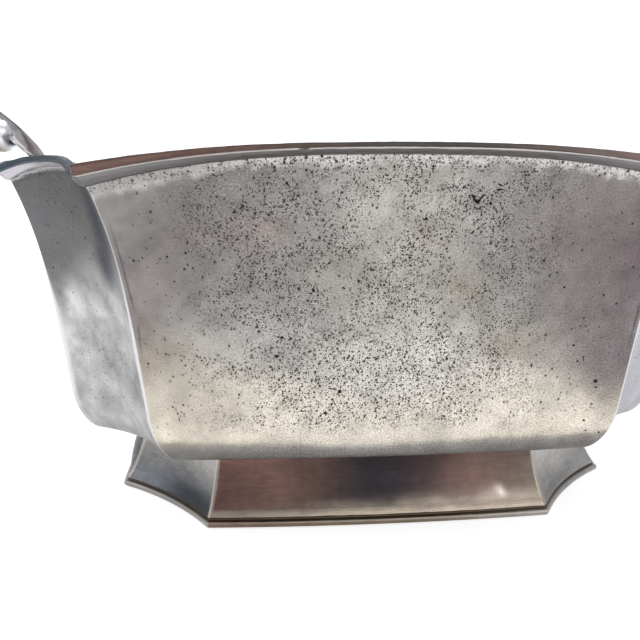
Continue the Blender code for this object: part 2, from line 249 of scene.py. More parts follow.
def round_ends(piece, before, after, radius):
    """Round a run's two mitred ends, each halfway round the arris it shares."""
    rounded = piece.copy()
    up_the_wall = np.gradient(piece, axis=0)
    far = along_mm(piece)
    for corner, inner, neighbour, side in ((0, 1, before, 1.0), (-1, -2, after, -1.0)):
        up = up_the_wall[:, corner]
        this = unit(np.cross((piece[:, inner] - piece[:, corner]) * side, up))
        other = unit(np.cross((piece[:, corner] - neighbour) * side, up))
        half = np.arccos(np.clip(np.sum(this * other, axis=-1), -1.0, 1.0)) / 2
        toward = unit(piece[:, corner] - piece[:, inner])
        reach = radius * np.tan(half)
        distance = far if corner == 0 else far[:, -1:] - far
        angle = np.clip(1.0 - distance / np.maximum(reach, 1e-6)[:, None], 0.0, 1.0)
        angle = angle * half[:, None]
        tangent_point = piece[:, corner] - toward * reach[:, None]
        rise = (1.0 - np.cos(angle)) * radius[:, None]
        run_on = np.sin(angle) * radius[:, None]
        arc = (tangent_point[:, None] + toward[:, None] * run_on[..., None]
               - this[:, None] * rise[..., None])
        inside = (distance < reach[:, None])[..., None]
        rounded = np.where(inside, arc, rounded)
    return rounded


def rounded_run(ring_grid, columns, radius):
    """A run's part of a ring of grids, with both its ends rounded."""
    total = ring_grid.shape[1]
    before, after = (columns[0] - 1) % total, (columns[-1] + 1) % total
    return round_ends(ring_grid[:, columns], ring_grid[:, before], ring_grid[:, after], radius)


def run_measures(grid, levels):
    """Of a run's points: how far from its start, from its nearer end and from its middle, the
    level of the row, and the place that the materials read."""
    far = along_mm(grid)
    edge = np.minimum(far, far[:, -1:] - far)
    level = np.repeat(levels[:, None], grid.shape[1], axis=1)
    place = np.stack((far / far[:, -1:], level, edge), axis=-1)
    return far, edge, far - far[:, -1:] / 2, level, place


def pattern_at(x, z, run):
    return np.stack((x, z, np.full_like(x, PATTERN_STEP * run)), axis=-1)


def into_scene(name, data):
    thing = bpy.data.objects.new(name, data)
    bpy.context.scene.collection.objects.link(thing)
    return thing


# ---------------------------------------------------------------- meshes

class Skin:
    """A closed sheet being built: points, faces and the values its material reads."""

    def __init__(self):
        self.points, self.faces, self.count = [], [], 0
        self.values = {"at": [], "place": [], "marks": [], "tone": []}

    def add(self, points, at, place, marks=0.0, tone=0.5):
        """Add points with their values, and return their indices."""
        points = np.asarray(points, float).reshape(-1, 3)
        self.points.append(points)
        for name, rows in (("at", at), ("place", place), ("marks", marks), ("tone", tone)):
            rows = np.asarray(rows, float)
            rows = rows.reshape(-1, 3) if rows.ndim > 1 else rows
            self.values[name].append(np.broadcast_to(rows, (len(points), 3)))
        self.count += len(points)
        return np.arange(self.count - len(points), self.count)

    def object(self, name, look, slot, stands_for, sharp=50.0):
        mesh = bpy.data.meshes.new(name)
        points = np.concatenate(self.points) * MM
        mesh.from_pydata((points + np.array(BOWL_MIDDLE)).tolist(), [], self.faces)
        for key, rows in self.values.items():
            layer = mesh.attributes.new(key, "FLOAT_VECTOR", "POINT")
            layer.data.foreach_set("vector", np.concatenate(rows).astype(np.float32).ravel())
        mesh.shade_smooth()
        mesh.set_sharp_from_angle(angle=math.radians(sharp))
        mesh.materials.append(look)
        piece = into_scene(name, mesh)
        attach(piece, root)
        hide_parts(*stands_for)


def close_ring(index):
    """A grid of indices with its first column repeated at its end."""
    return np.column_stack((index, index[:, 0]))


def cap(skin, centre, at, place, loop, reverse):
    """A fan of faces from a new middle point to a closed loop of indices."""
    middle = int(skin.add(centre, at, place)[0])
    for pair in zip(loop[:-1].tolist(), loop[1:].tolist()):
        skin.faces.append((middle, *(pair[::-1] if reverse else pair)))


def quads(index, flip=False):
    a, b = index[:-1, :-1].ravel(), index[:-1, 1:].ravel()
    c, d = index[1:, 1:].ravel(), index[1:, :-1].ravel()
    corners = (a, d, c, b) if flip else (a, b, c, d)
    return np.column_stack(corners).tolist()


def border(index):
    """The four sides of a grid of indices, each running counter-clockwise."""
    return index[0], index[:, -1], index[-1, ::-1], index[::-1, 0]


def stitch(fine, coarse):
    """Faces between two borders, the first with several points for each step of the second."""
    faces = []
    for outer, inner in zip(border(fine), border(coarse)):
        ratio = (len(outer) - 1) // (len(inner) - 1)
        for step in range(len(inner) - 1):
            span = outer[step * ratio:(step + 1) * ratio + 1][::-1]
            faces.append([*span.tolist(), int(inner[step]), int(inner[step + 1])])
    return faces


# Pits: what part of the chance of one makes a wide and a narrow one, and, as shares of the pit,
# the width and depth of the ring of points above its bottom.
WIDE_SHARE, NARROW_SHARE = 0.13, 0.6
FLOOR_WIDTH, FLOOR_DEPTH = 0.62, 0.85
OCTAGON = np.radians(-135.0 + 45.0 * np.arange(8))
AROUND_BLOCK = ((0, 0), (0, 1), (0, 2), (1, 2), (2, 2), (2, 1), (2, 0), (1, 0))


def choose_pits(pit_chance):
    """Places of wide pits, each over a block of four cells, and of narrow ones in a cell."""
    wanted = chance.random(pit_chance.shape) < pit_chance * WIDE_SHARE
    taken = np.zeros(pit_chance.shape, bool)
    wide = []
    for row, column in zip(*np.nonzero(wanted)):
        block = taken[row:row + 2, column:column + 2]
        if block.size == 4 and not block.any():
            taken[row:row + 2, column:column + 2] = True
            wide.append((row, column))
    narrow = (chance.random(pit_chance.shape) < NARROW_SHARE * pit_chance) & ~taken
    return wide, narrow, taken


def pit_depths(patches, sizes, least, most):
    """Depths, drawn as multiples of the pits' sizes in millimetres."""
    cells = np.linalg.norm(patches[:, 1] - patches[:, 0], axis=1)
    return chance.uniform(least, most, len(sizes)) * sizes * cells


def sink_pits(skin, patches, centres, sizes, depths, values):
    """Lip and floor rings of many pits, as indices, and their bottoms, as points.

    patches holds each pit's four corners; centres and sizes are shares of the patch.
    """
    reach = sizes[:, None] * chance.uniform(0.7, 1.25, (len(sizes), 8))
    u = (centres[:, :1] + np.cos(OCTAGON) * reach)[..., None]
    v = (centres[:, 1:] + np.sin(OCTAGON) * reach)[..., None]
    a, b, c, d = (patches[:, k, None] for k in range(4))
    lip = a * (1 - u) * (1 - v) + b * u * (1 - v) + c * u * v + d * (1 - u) * v
    middle = lip.mean(axis=1)
    down = unit(np.cross(patches[:, 1] - patches[:, 0], patches[:, 3] - patches[:, 0]))
    down = down * depths[:, None]
    floor = middle[:, None] + (lip - middle[:, None]) * FLOOR_WIDTH - down[:, None] * FLOOR_DEPTH
    at, place, marks, tone = (np.repeat(field, 8, axis=0) for field in values)
    marks = marks * (0.0, 1.0, 1.0)                     # the first mark is how dark a pit is
    lips = skin.add(lip, at, place, marks + (0.3, 0.0, 0.0), tone)
    floors = skin.add(floor, at, place, marks + (1.0, 0.0, 0.0), tone)
    return lips.reshape(-1, 8), floors.reshape(-1, 8), middle - down


def around_faces(outside, inside):
    """Faces between two rings of eight, for many pits at once."""
    after = np.roll(outside, -1, axis=1), np.roll(inside, -1, axis=1)
    return np.stack((outside, after[0], after[1], inside), axis=-1).reshape(-1, 4).tolist()


def floor_faces(floors, bottoms):
    after = np.roll(floors, -1, axis=1)
    tips = np.repeat(bottoms[:, None], 8, axis=1)
    return np.stack((floors, after, tips), axis=-1).reshape(-1, 3).tolist()


def sheet_with_pits(skin, outer, inner, at, place, marks, tone, pit_chance):
    """Outer skin with pits, a coarser inner skin and the edges between them."""
    rows, columns = outer.shape[:2]
    wide, narrow, taken = choose_pits(pit_chance)
    outer, marks = outer.copy(), marks.copy()
    fields = (at, place, marks, tone)
    faces = []
    if len(wide):
        r, c = np.array(wide).T
        patches = np.stack((outer[r, c], outer[r, c + 2], outer[r + 2, c + 2], outer[r + 2, c]), 1)
        sizes = chance.uniform(0.16, 0.27, len(r))
        depths = pit_depths(patches, sizes, 0.8, 1.5)
        values = [field[r + 1, c + 1] for field in fields]
        lips, floors, bottoms = sink_pits(skin, patches, np.full((len(r), 2), 0.5), sizes, depths,
                                          values)
        outer[r + 1, c + 1] = bottoms
        marks[r + 1, c + 1, 0] = 1.0
    fine = skin.add(outer, at, place, marks, tone).reshape(rows, columns)
    if len(wide):
        around = np.stack([fine[r + dr, c + dc] for dr, dc in AROUND_BLOCK], axis=1)
        faces += around_faces(around, lips) + around_faces(lips, floors)
        faces += floor_faces(floors, fine[r + 1, c + 1])
    faces += np.array(quads(fine))[~(narrow | taken).ravel()].tolist()
    r, c = np.nonzero(narrow)
    if len(r):
        patches = np.stack((outer[r, c], outer[r, c + 1], outer[r + 1, c + 1], outer[r + 1, c]), 1)
        sizes = 0.19 + 0.18 * chance.random(len(r)) ** 1.3
        depths = pit_depths(patches, sizes, 0.9, 1.8)
        shift = (0.47 - sizes * 1.25)[:, None] * chance.uniform(-1.0, 1.0, (len(r), 2))
        values = [field[r, c] for field in fields]
        p, floors, bottoms = sink_pits(skin, patches, 0.5 + shift, sizes, depths, values)
        tips = skin.add(bottoms, values[0], values[1], (1.0, 0.0, 0.0), values[3])
        a, b, c, d = fine[r, c], fine[r, c + 1], fine[r + 1, c + 1], fine[r + 1, c]
        for corner, following, k in ((a, b, 0), (b, c, 2), (c, d, 4), (d, a, 6)):
            faces += np.stack((corner, following, p[:, k + 1], p[:, k]), axis=1).tolist()
            faces += np.stack((following, p[:, (k + 2) % 8], p[:, k + 1]), axis=1).tolist()
        faces += around_faces(p, floors) + floor_faces(floors, tips)
    step = INNER_STEP if (rows - 1) % INNER_STEP == 0 else 1
    inner_place = place[::step, ::step].copy()
    inner_place[..., 2] = UNSEEN
    coarse_points = inner[::step, ::step]
    coarse = skin.add(coarse_points, at[::step, ::step], inner_place)
    coarse = coarse.reshape(coarse_points.shape[:2])
    skin.faces += faces + quads(coarse, flip=True) + stitch(fine, coarse)


# ---------------------------------------------------------------- bowl walls

RIM_CORNERS = plan_corners(RIM_X1, RIM_Y1, RIM_X2, RIM_Y2)
WALL_RING = Ring(RIM_CORNERS, WALL_CELL)


def rim_heights(ring):
    rises = run_bows(SIDE_RISE, CORNER_RISE, HANDLE_END_RISE, SPOUT_RISE)
    return RIM_CORNER_Z + ring.along(rises, [0.0] * 8)


def wall_out(share):
    height = share * (RIM_CORNER_Z - BOWL_BOTTOM_Z)
    turned = 1.0 - min(height, TURN_RISE) / TURN_RISE
    curl = max(0.0, (share - FLARE_START) / (1.0 - FLARE_START))
    return TURN_IN * math.sqrt(1.0 - turned ** 2) + TAPER * share + FLARE * curl ** 3


def wall_ring(ring, share):
    lean = TURN_IN + TAPER + FLARE - wall_out(share)
    spout = SPOUT_REACH * max(0.0, (share - 0.2) / 0.8) ** 1.8
    corners = plan_corners(RIM_X1 - lean, RIM_Y1 - Y1_SHARE * lean,
                           RIM_X2 - X2_SHARE * lean, RIM_Y2 - Y2_SHARE * lean)
    plan = ring.plan(corners, run_bows(SIDE_BOW, CORNER_HOLLOW, HANDLE_END_BOW, spout))
    height = BOWL_BOTTOM_Z + share * (rim_heights(ring) - BOWL_BOTTOM_Z)
    return np.column_stack((plan, height))


def wall_shares(turn_rows=28, wall_rows=116):
    turn_top = TURN_RISE / (RIM_CORNER_Z - BOWL_BOTTOM_Z)
    angles = np.linspace(0.0, math.pi / 2, turn_rows + 1)
    turn = turn_top * (1.0 - np.cos(angles))
    return np.concatenate((turn, np.linspace(turn_top, 1.0, wall_rows + 1)[1:]))


def seen_from_front(run, x):
    """Distances from mid-run, mirrored on the back so that both sides wear alike."""
    return x if run == 0 else -x


def dent(x, z, at_x, at_z, width, height, depth, lean=0.0):
    """A soft hollow: depth at its middle, fading over its width and height."""
    across = (x - at_x) * math.cos(lean) + (z - at_z) * math.sin(lean)
    up = (z - at_z) * math.cos(lean) - (x - at_x) * math.sin(lean)
    return -depth * np.exp(-(across / width) ** 2 - (up / height) ** 2)


# Damage on the front: distance from mid-run, height, half width, half height and lean.
NICKS = (
    (12.4, 68.4, 1.0, 0.25, -0.95), (13.5, 68.4, 0.9, 0.2, 1.0), (13.1, 67.9, 0.45, 0.35, 0.0),
    (16.5, 70.7, 0.6, 0.15, -0.45), (16.4, 69.9, 0.5, 0.2, 0.1), (13.5, 66.7, 0.5, 0.11, -0.1),
    (12.7, 62.7, 0.45, 0.16, 0.6), (13.6, 63.4, 0.4, 0.14, 0.6), (14.7, 64.2, 0.3, 0.1, 0.6),
    (27.0, 61.7, 0.16, 0.28, 0.0), (26.0, 57.6, 0.32, 0.18, -0.8), (30.4, 52.8, 0.22, 0.22, 0.0),
    (38.0, 51.2, 0.22, 0.22, 0.0), (38.7, 66.0, 0.12, 0.32, 0.2), (-11.7, 57.7, 0.55, 0.13, 0.6),
    (-9.2, 53.2, 0.3, 0.17, -0.3), (-20.9, 40.8, 0.4, 0.35, 0.0), (-22.0, 38.8, 0.35, 0.2, 0.0),
    (-24.0, 45.5, 0.28, 0.2, 0.0), (-20.0, 44.3, 0.3, 0.3, 0.0), (-18.4, 44.1, 0.3, 0.25, 0.0),
    (-4.2, 43.3, 0.4, 0.16, 0.6), (-3.0, 40.0, 0.45, 0.18, 0.3), (-17.0, 36.5, 0.3, 0.22, 0.0),
    (-9.6, 33.8, 0.5, 0.25, 0.9), (-11.0, 31.5, 0.35, 0.2, 0.9), (-12.2, 29.7, 0.35, 0.3, 0.3),
    (38.9, 34.4, 0.4, 0.42, 0.0), (39.1, 33.2, 0.25, 0.2, 0.0), (37.6, 26.4, 0.3, 0.26, 0.0),
    (38.5, 24.1, 0.25, 0.22, 0.0), (41.4, 23.4, 0.2, 0.2, 0.0), (28.5, 30.6, 0.22, 0.22, 0.0),
    (26.0, 37.9, 0.2, 0.3, 0.2), (35.8, 39.3, 0.18, 0.25, 0.0), (33.6, 41.7, 0.25, 0.25, 0.0),
)


def wall_relief(run, x, z, share, edge):
    """Height of the metal's unevenness."""
    swell = two_noises(x, z, 40 + run, (0.10, 14.0), (0.05, 5.0))
    turn = smooth(share, 0.03, 0.1) * smooth(share, 0.28, 0.16)
    wave = 0.30 * soft_noise(x, z * 0.3, 11.0, 60 + run) * turn
    cast = two_noises(x, z, 70 + run, (0.012, 0.9), (0.018, 2.1))
    nicks = np.zeros_like(x)
    if run in LONG_RUNS:
        for at_x, at_z, width, height, lean in NICKS:
            depth = 0.9 * math.sqrt(width * height)
            nicks += dent(seen_from_front(run, x), z, at_x, at_z, width, height, depth, lean)
    if run == 7:
        for at_x, at_z in ((2.6, 58.5), (4.0, 50.5), (5.2, 65.5)):
            nicks += dent(x, z, at_x, at_z, 0.3, 0.55, 0.28, 0.4)
    relief = (swell + wave + cast) * smooth(edge, 0.1, 2.5) + nicks * smooth(edge, 0.0, 1.0)
    return relief * smooth(share, 0.0, 0.05) * smooth(share, 1.0, 0.985)


def seam_line(run, z, edge, left):
    """A scratched line beside the arris, broken up along its length."""
    offset = 1.05 + 0.18 * soft_noise(z, 0.0 * z, 6.0, 90 + run * 2 + left)
    strength = smooth(soft_noise(z, 0.0 * z, 3.0, 95 + run * 2 + left), -0.55, 0.1)
    strength = strength * smooth(z, 68.0, 58.0) * smooth(z, 38.0, 46.0)
    line = np.exp(-((edge - offset) / 0.13) ** 2)
    return line * strength


# Where the long sides are most pitted: distance from mid-run, height, half width, half
# height, and the chance of a pit there.
PITTED = (
    (0.0, 38.0, 17.0, 12.0, 0.36), (-20.0, 41.0, 9.0, 8.0, 0.32), (8.0, 30.0, 10.0, 7.0, 0.32),
    (1.0, 63.0, 12.0, 14.0, 0.30), (-16.0, 62.0, 15.0, 12.0, 0.30), (-38.0, 38.0, 9.0, 8.0, 0.20),
    (16.0, 66.0, 9.0, 9.0, 0.14), (38.0, 28.0, 8.0, 9.0, 0.12), (24.0, 25.5, 5.0, 2.5, 0.3),
)


def pit_chances(run, x, z, share, edge, below):
    """Chance of a pit in each place: clusters, denser at the middle of the long sides."""
    clusters = two_noises(x, z, 110 + run, (1.0, 5.0), (0.7, 2.0))
    chance_here = np.full_like(x, 0.006)
    if run in LONG_RUNS:
        dense = np.zeros_like(x)
        for at_x, at_z, width, height, most in PITTED:
            dense = np.maximum(dense, -dent(x, z, at_x, at_z, width, height, most))
        chance_here = 0.022 + dense * (0.25 + 0.75 * smooth(clusters, -0.7, 0.9))
        strip = smooth(below, 2.2, 1.4) * smooth(x, -48.0, -36.0)
        chance_here = (chance_here + 0.14 * strip) * smooth(z, 22.6, 25.5)
        chance_here *= 0.5 if run == 4 else 1.0
    return chance_here * smooth(edge, 0.9, 2.4) * smooth(share, 0.1, 0.16)


def jostle(outer, at, share, edge):
    """Shift the points a little within the surface, so that pits don't fall into rows."""
    u, v = chance.uniform(-JOSTLE, JOSTLE, (2, *edge.shape))
    free = smooth(edge, 1.4, 2.2) * smooth(share, 0.0, 0.03) * smooth(share, 1.0, 0.99)
    u, v = (u * free)[..., None], (v * free)[..., None]
    return [grid + np.gradient(grid, axis=1) * u + np.gradient(grid, axis=0) * v
            for grid in (outer, at)]


# ---------------------------------------------------------------- tarnish and painted light

def toward_side(run, place):
    """How far across a corner, from 0 at the end of the bowl to 1 at its long side."""
    return place[..., 0] if run in (3, 7) else 1.0 - place[..., 0]


def warm(grey, warmth):
    """A grey, tinted toward straw for a positive warmth and toward blue for a negative one."""
    grey = np.asarray(grey, float)
    return np.stack((grey * (1.0 + 0.6 * warmth), grey, grey * (1.0 - warmth)), axis=-1)


def lay_patches(tone, x, z, patches):
    """Lay soft patches over a tone: middle, half sizes, colour and strength of each."""
    for at_x, at_z, width, height, colour, strength in patches:
        blend = (-dent(x, z, at_x, at_z, width, height, strength))[..., None]
        tone = tone * (1.0 - blend) + np.array(colour) * blend
    return tone


LILAC, DUSK, STRAW = (0.25, 0.215, 0.22), (0.20, 0.16, 0.168), (0.43, 0.37, 0.29)
OLIVE, ROSE, BRIGHT = (0.37, 0.36, 0.29), (0.38, 0.30, 0.27), (0.9, 0.86, 0.75)
# Patches on the long sides: middle, half sizes, colour and strength. Partly painted light: the
# cream patches low in the middle are a painted reflection of the floor, the light grey ones higher
# in the middle a painted sheen, and the darker lilac, dusk and brownish grey ones toward the ends
# painted shade; the straw, rose and olive ones are stains.
SIDE_SHADING_AND_STAINS = (
    (0.0, 50.0, 10.0, 14.0, (0.60, 0.57, 0.52), 0.85),
    (1.0, 68.0, 15.0, 8.0, (0.66, 0.63, 0.58), 0.8),
    (-36.0, 61.0, 12.0, 11.0, LILAC, 0.75), (-29.0, 73.0, 9.0, 4.0, DUSK, 0.5),
    (43.0, 58.0, 14.0, 15.0, DUSK, 0.9), (28.0, 62.0, 10.0, 12.0, (0.27, 0.235, 0.225), 0.7),
    (-46.0, 40.0, 9.0, 8.0, STRAW, 0.7), (44.0, 41.0, 14.0, 9.0, LILAC, 0.85),
    (-47.0, 49.0, 6.0, 7.0, (0.32, 0.27, 0.25), 0.6), (0.0, 31.0, 24.0, 5.0, BRIGHT, 0.5),
    (2.0, 37.0, 17.0, 8.0, (0.95, 0.91, 0.84), 0.8), (-53.0, 50.0, 9.0, 9.0, LILAC, 0.6),
    (48.0, 38.0, 10.0, 6.0, LILAC, 0.5),
    (12.0, 53.0, 5.0, 3.5, STRAW, 0.55), (-24.0, 61.0, 5.0, 3.0, ROSE, 0.5),
    (-10.0, 57.0, 5.0, 4.0, OLIVE, 0.5), (6.0, 63.5, 4.0, 3.0, ROSE, 0.45),
    (-20.0, 40.0, 7.0, 4.0, (0.44, 0.43, 0.44), 0.5), (22.0, 43.0, 7.0, 4.0, STRAW, 0.5),
    (2.0, 72.0, 5.0, 3.0, OLIVE, 0.4), (-34.0, 30.0, 8.0, 5.0, STRAW, 0.4),
)
# Greys by height: tarnish with painted light, namely painted shade on the under-curve up to about
# 22 mm, a bright painted reflection of the floor from 23 to 33 mm, and a darker painted reflection
# of the room above.
SIDE_GREYS_WITH_PAINTED_LIGHT = ((18.9, 0.23), (20.4, 0.27), (21.6, 0.36), (22.3, 0.46), (23.2, 0.86), (24.5, 0.95),
              (28.0, 0.95), (33.0, 0.80), (39.0, 0.63), (48.0, 0.42), (57.0, 0.35), (66.0, 0.34),
              (72.0, 0.32), (78.0, 0.35))
HOLLOW_GREYS = ((18.9, 0.46), (21.5, 0.44), (24.0, 0.54), (28.0, 0.55), (34.0, 0.56),
                (39.0, 0.64), (47.0, 0.68), (50.0, 0.55), (54.0, 0.34), (58.0, 0.21), (64.0, 0.16),
                (72.0, 0.155))
END_GREYS = ((19.0, 0.40), (40.0, 0.52), (60.0, 0.36), (78.0, 0.26))


# The hollow corners' patches are placed by 24ths of the way across, from near the long side. The
# first two are painted shade, a dark blue streak beside the arris; the third is a grey patch.
HOLLOW_SHADE_AND_STAINS = (
    (2.2, 65.0, 2.6, 8.5, (0.03, 0.033, 0.055), 0.97),
    (0.6, 57.0, 2.4, 4.5, (0.045, 0.05, 0.08), 0.9),
    (-15.0, 64.0, 4.0, 8.0, (0.23, 0.23, 0.24), 0.6),
)


def wall_tone(run, x, z, place, below):
    """Colour of a wall: its tarnish grey by height, with painted shade, reflections and
    highlights, broken up by stains.
    """
    drift = two_noises(x, z, 220 + run, (2.2, 7.0), (0.8, 2.4))
    if run in LONG_RUNS:
        facing = seen_from_front(run, x)
        # Below 27 mm the height wavers along the run, so that the edge of the painted shade on the
        # under-curve waves.
        turn = 0.55 * soft_noise(facing, z * 0.0, 15.0, 240) - 0.5 * smooth(facing, 36.0, 50.0)
        turn = turn - 1.0 * smooth(facing, -8.0, -20.0) - 0.5 * smooth(facing, 12.0, 26.0)
        height = np.where(z > 27.0, z + drift, z + drift * smooth(z, 23.0, 27.0) + turn)
        grey = from_table(SIDE_GREYS_WITH_PAINTED_LIGHT, height)
        # Warmer low on the wall, most from 24 to 30 mm: the cream tint of the painted floor
        # reflection.
        tone = warm(grey, 0.06 + 0.09 * smooth(z, 48.0, 30.0) * smooth(z, 21.0, 24.0))
        tone = lay_patches(tone, facing + drift, z + drift * smooth(z, 23.0, 30.0), SIDE_SHADING_AND_STAINS)
        mottle = two_noises(x, z, 250 + run, (0.13, 3.2), (0.09, 1.3))
        tone = tone * (1.0 + mottle)[..., None]
        # Painted highlight: a bright strip just below the rim moulding.
        width = 1.0 + 0.8 * smooth(facing, -24.0, -42.0)
        uneven = 0.5 * soft_noise(x, z, 1.2, 270) + 0.4 * soft_noise(x, z, 4.0, 271)
        bright = smooth(below + uneven, width + 1.1, width - 0.5)
        bright = bright * (0.42 + 0.55 * smooth(facing, -40.0, -20.0))
        return tone + (np.array((1.0, 0.96, 0.93)) - tone) * bright[..., None]
    toward = toward_side(run, place)
    if run in CORNER_RUNS:
        height = z + 1.3 * drift - 5.0 * (toward - 0.45)
        tone = warm(from_table(HOLLOW_GREYS, height), 0.01)
        width = 24.0 * (toward - 0.72)
        tone = lay_patches(tone, width + 0.3 * drift, z, HOLLOW_SHADE_AND_STAINS)
        mottle = two_noises(x, z, 250 + run, (0.30, 4.0), (0.16, 1.5))
        mottle = mottle * smooth(z, 58.0, 48.0) + 0.06 * soft_noise(x, z, 5.0, 265)
        tone = tone * (1.0 + mottle)[..., None]
        if run in (1, 3):
            low = smooth(z, 52.0, 40.0)[..., None]
            tone = tone * (1.0 - 0.6 * low) + np.array((0.64, 0.64, 0.71)) * 0.6 * low
    else:
        tone = warm(from_table(END_GREYS, z + drift), 0.02)
    # Painted highlight: a light line just below the rim moulding.
    bright = smooth(below, 0.75, 0.45) * smooth(below, 0.05, 0.2)
    return tone + (np.array((0.70, 0.68, 0.69)) - tone) * bright[..., None]


FOOT_SIDE_STAINS = (
    (-27.0, 11.0, 14.0, 14.0, (0.27, 0.155, 0.125), 0.95),
    (-38.0, 11.0, 8.0, 14.0, (0.24, 0.13, 0.11), 0.9),
    (22.0, 11.0, 12.0, 14.0, (0.19, 0.115, 0.10), 0.95),
    (36.0, 11.0, 9.0, 14.0, (0.19, 0.15, 0.12), 0.9),
    (10.0, 2.0, 30.0, 1.8, (0.55, 0.46, 0.36), 0.9),
    (30.0, 2.4, 14.0, 2.6, (0.55, 0.47, 0.38), 0.8),
    (26.5, 5.0, 2.0, 1.0, (0.9, 0.82, 0.70), 0.8),
)
FOOT_CORNER_GREYS = ((0.0, 0.17), (0.12, 0.17), (0.3, 0.27), (0.5, 0.38), (1.0, 0.6))


def foot_tone(run, x, z, place):
    """Tarnish of a foot panel: brown and blue-black on the sides, grey on the corners."""
    drift = two_noises(x, z, 280 + run, (1.8, 6.0), (0.8, 2.0))
    fine = 0.10 * soft_noise(x * 0.4, z * 3.0, 1.2, 300 + run)
    share = place[..., 1]
    if run in LONG_RUNS:
        facing = seen_from_front(run, x)
        ends = np.full((*x.shape, 3), (0.023, 0.024, 0.029))
        tone = lay_patches(ends, facing + drift, z + 0.4 * drift, FOOT_SIDE_STAINS)
        lip = smooth(share, 0.09, 0.04)[..., None] * 0.75
        tone = tone * (1.0 - lip) + np.array((0.60, 0.50, 0.40)) * lip
        return tone * (1.0 + fine)[..., None]
    toward = toward_side(run, place)
    if run in (2, 6):
        return warm(0.10 * (1.0 + 2.0 * fine), 0.08 - 0.1 * smooth(share, 0.1, 0.4))
    grey = from_table(FOOT_CORNER_GREYS, share + 0.03 * drift)
    if run in (1, 3):
        grey = grey * 1.45 + 0.34 * smooth(toward, 0.9, 0.1) * smooth(share, 0.5, 0.0)
        return warm(grey * (1.0 + fine), 0.06)
    grey = grey * (1.15 - 0.5 * smooth(toward, 0.3, 0.7) * smooth(share, 0.25, 0.12))
    return warm(grey * (1.0 + fine), 0.05 - 0.14 * smooth(share, 0.35, 0.1))


def make_walls(look):
    shares = wall_shares()
    ring_grid = np.array([wall_ring(WALL_RING, share) for share in shares])
    normals = mitred_normals(ring_grid)
    normals[0] = (0.0, 0.0, -1.0)
    normals[-1, :, 2] = 0.0
    inner_ring = ring_grid - normals * WALL
    inner_ring[-1, :, 2] -= EDGE_SLOPE
    for run, name in enumerate(RUNS):
        columns = WALL_RING.columns(run)
        flat = ring_grid[:, columns]
        arris = 0.12 * soft_noise(flat[:, 0, 2], np.zeros(len(flat)), 5.0, 31)
        outer = rounded_run(ring_grid, columns, ARRIS_RADIUS + arris)
        far, edge, x, share, place = run_measures(flat, shares)
        z = flat[..., 2]
        relief = wall_relief(run, x, z, share, edge)
        corner_band = (1, 1, 2, 2)[run % 4], (1, 1, 2, 2)[(run + 1) % 4]
        bands = [UPPER_BAND[k] + LOWER_BAND[k] for k in (0, *corner_band)]
        straight = bands[1] + (bands[2] - bands[1]) * place[..., 0]
        blend = arch(run, place[..., 0], RIM_ARCH)
        below = z[-1] - z - (straight + (bands[0] - straight) * blend)
        seam = np.zeros_like(x)
        if run in LONG_RUNS:
            seam = np.maximum(seam_line(run, z, far, 0), seam_line(run, z, far[:, -1:] - far, 1))
        outer = outer + grid_normals(flat) * (relief - 0.14 * seam)[..., None]
        marks = np.stack((np.zeros_like(x), seam, below), axis=-1)
        outer, at = jostle(outer, pattern_at(x, z, run), share, edge)
        chances = pit_chances(run, x, z, share, edge, below)[:-1, :-1]
        skin = Skin()
        tone = wall_tone(run, x, z, place, below)
        sheet_with_pits(skin, outer, inner_ring[:, columns], at, place, marks, tone, chances)
        skin.object("wall_" + name, look[run], "bowl_metal", ("bowl_" + name,))


# ---------------------------------------------------------------- rim moulding

def band_heights(ring, mid, side_corner, end_corner):
    pair = (side_corner, side_corner, end_corner, end_corner)
    return ring.along((mid,) * 8, pair + pair)


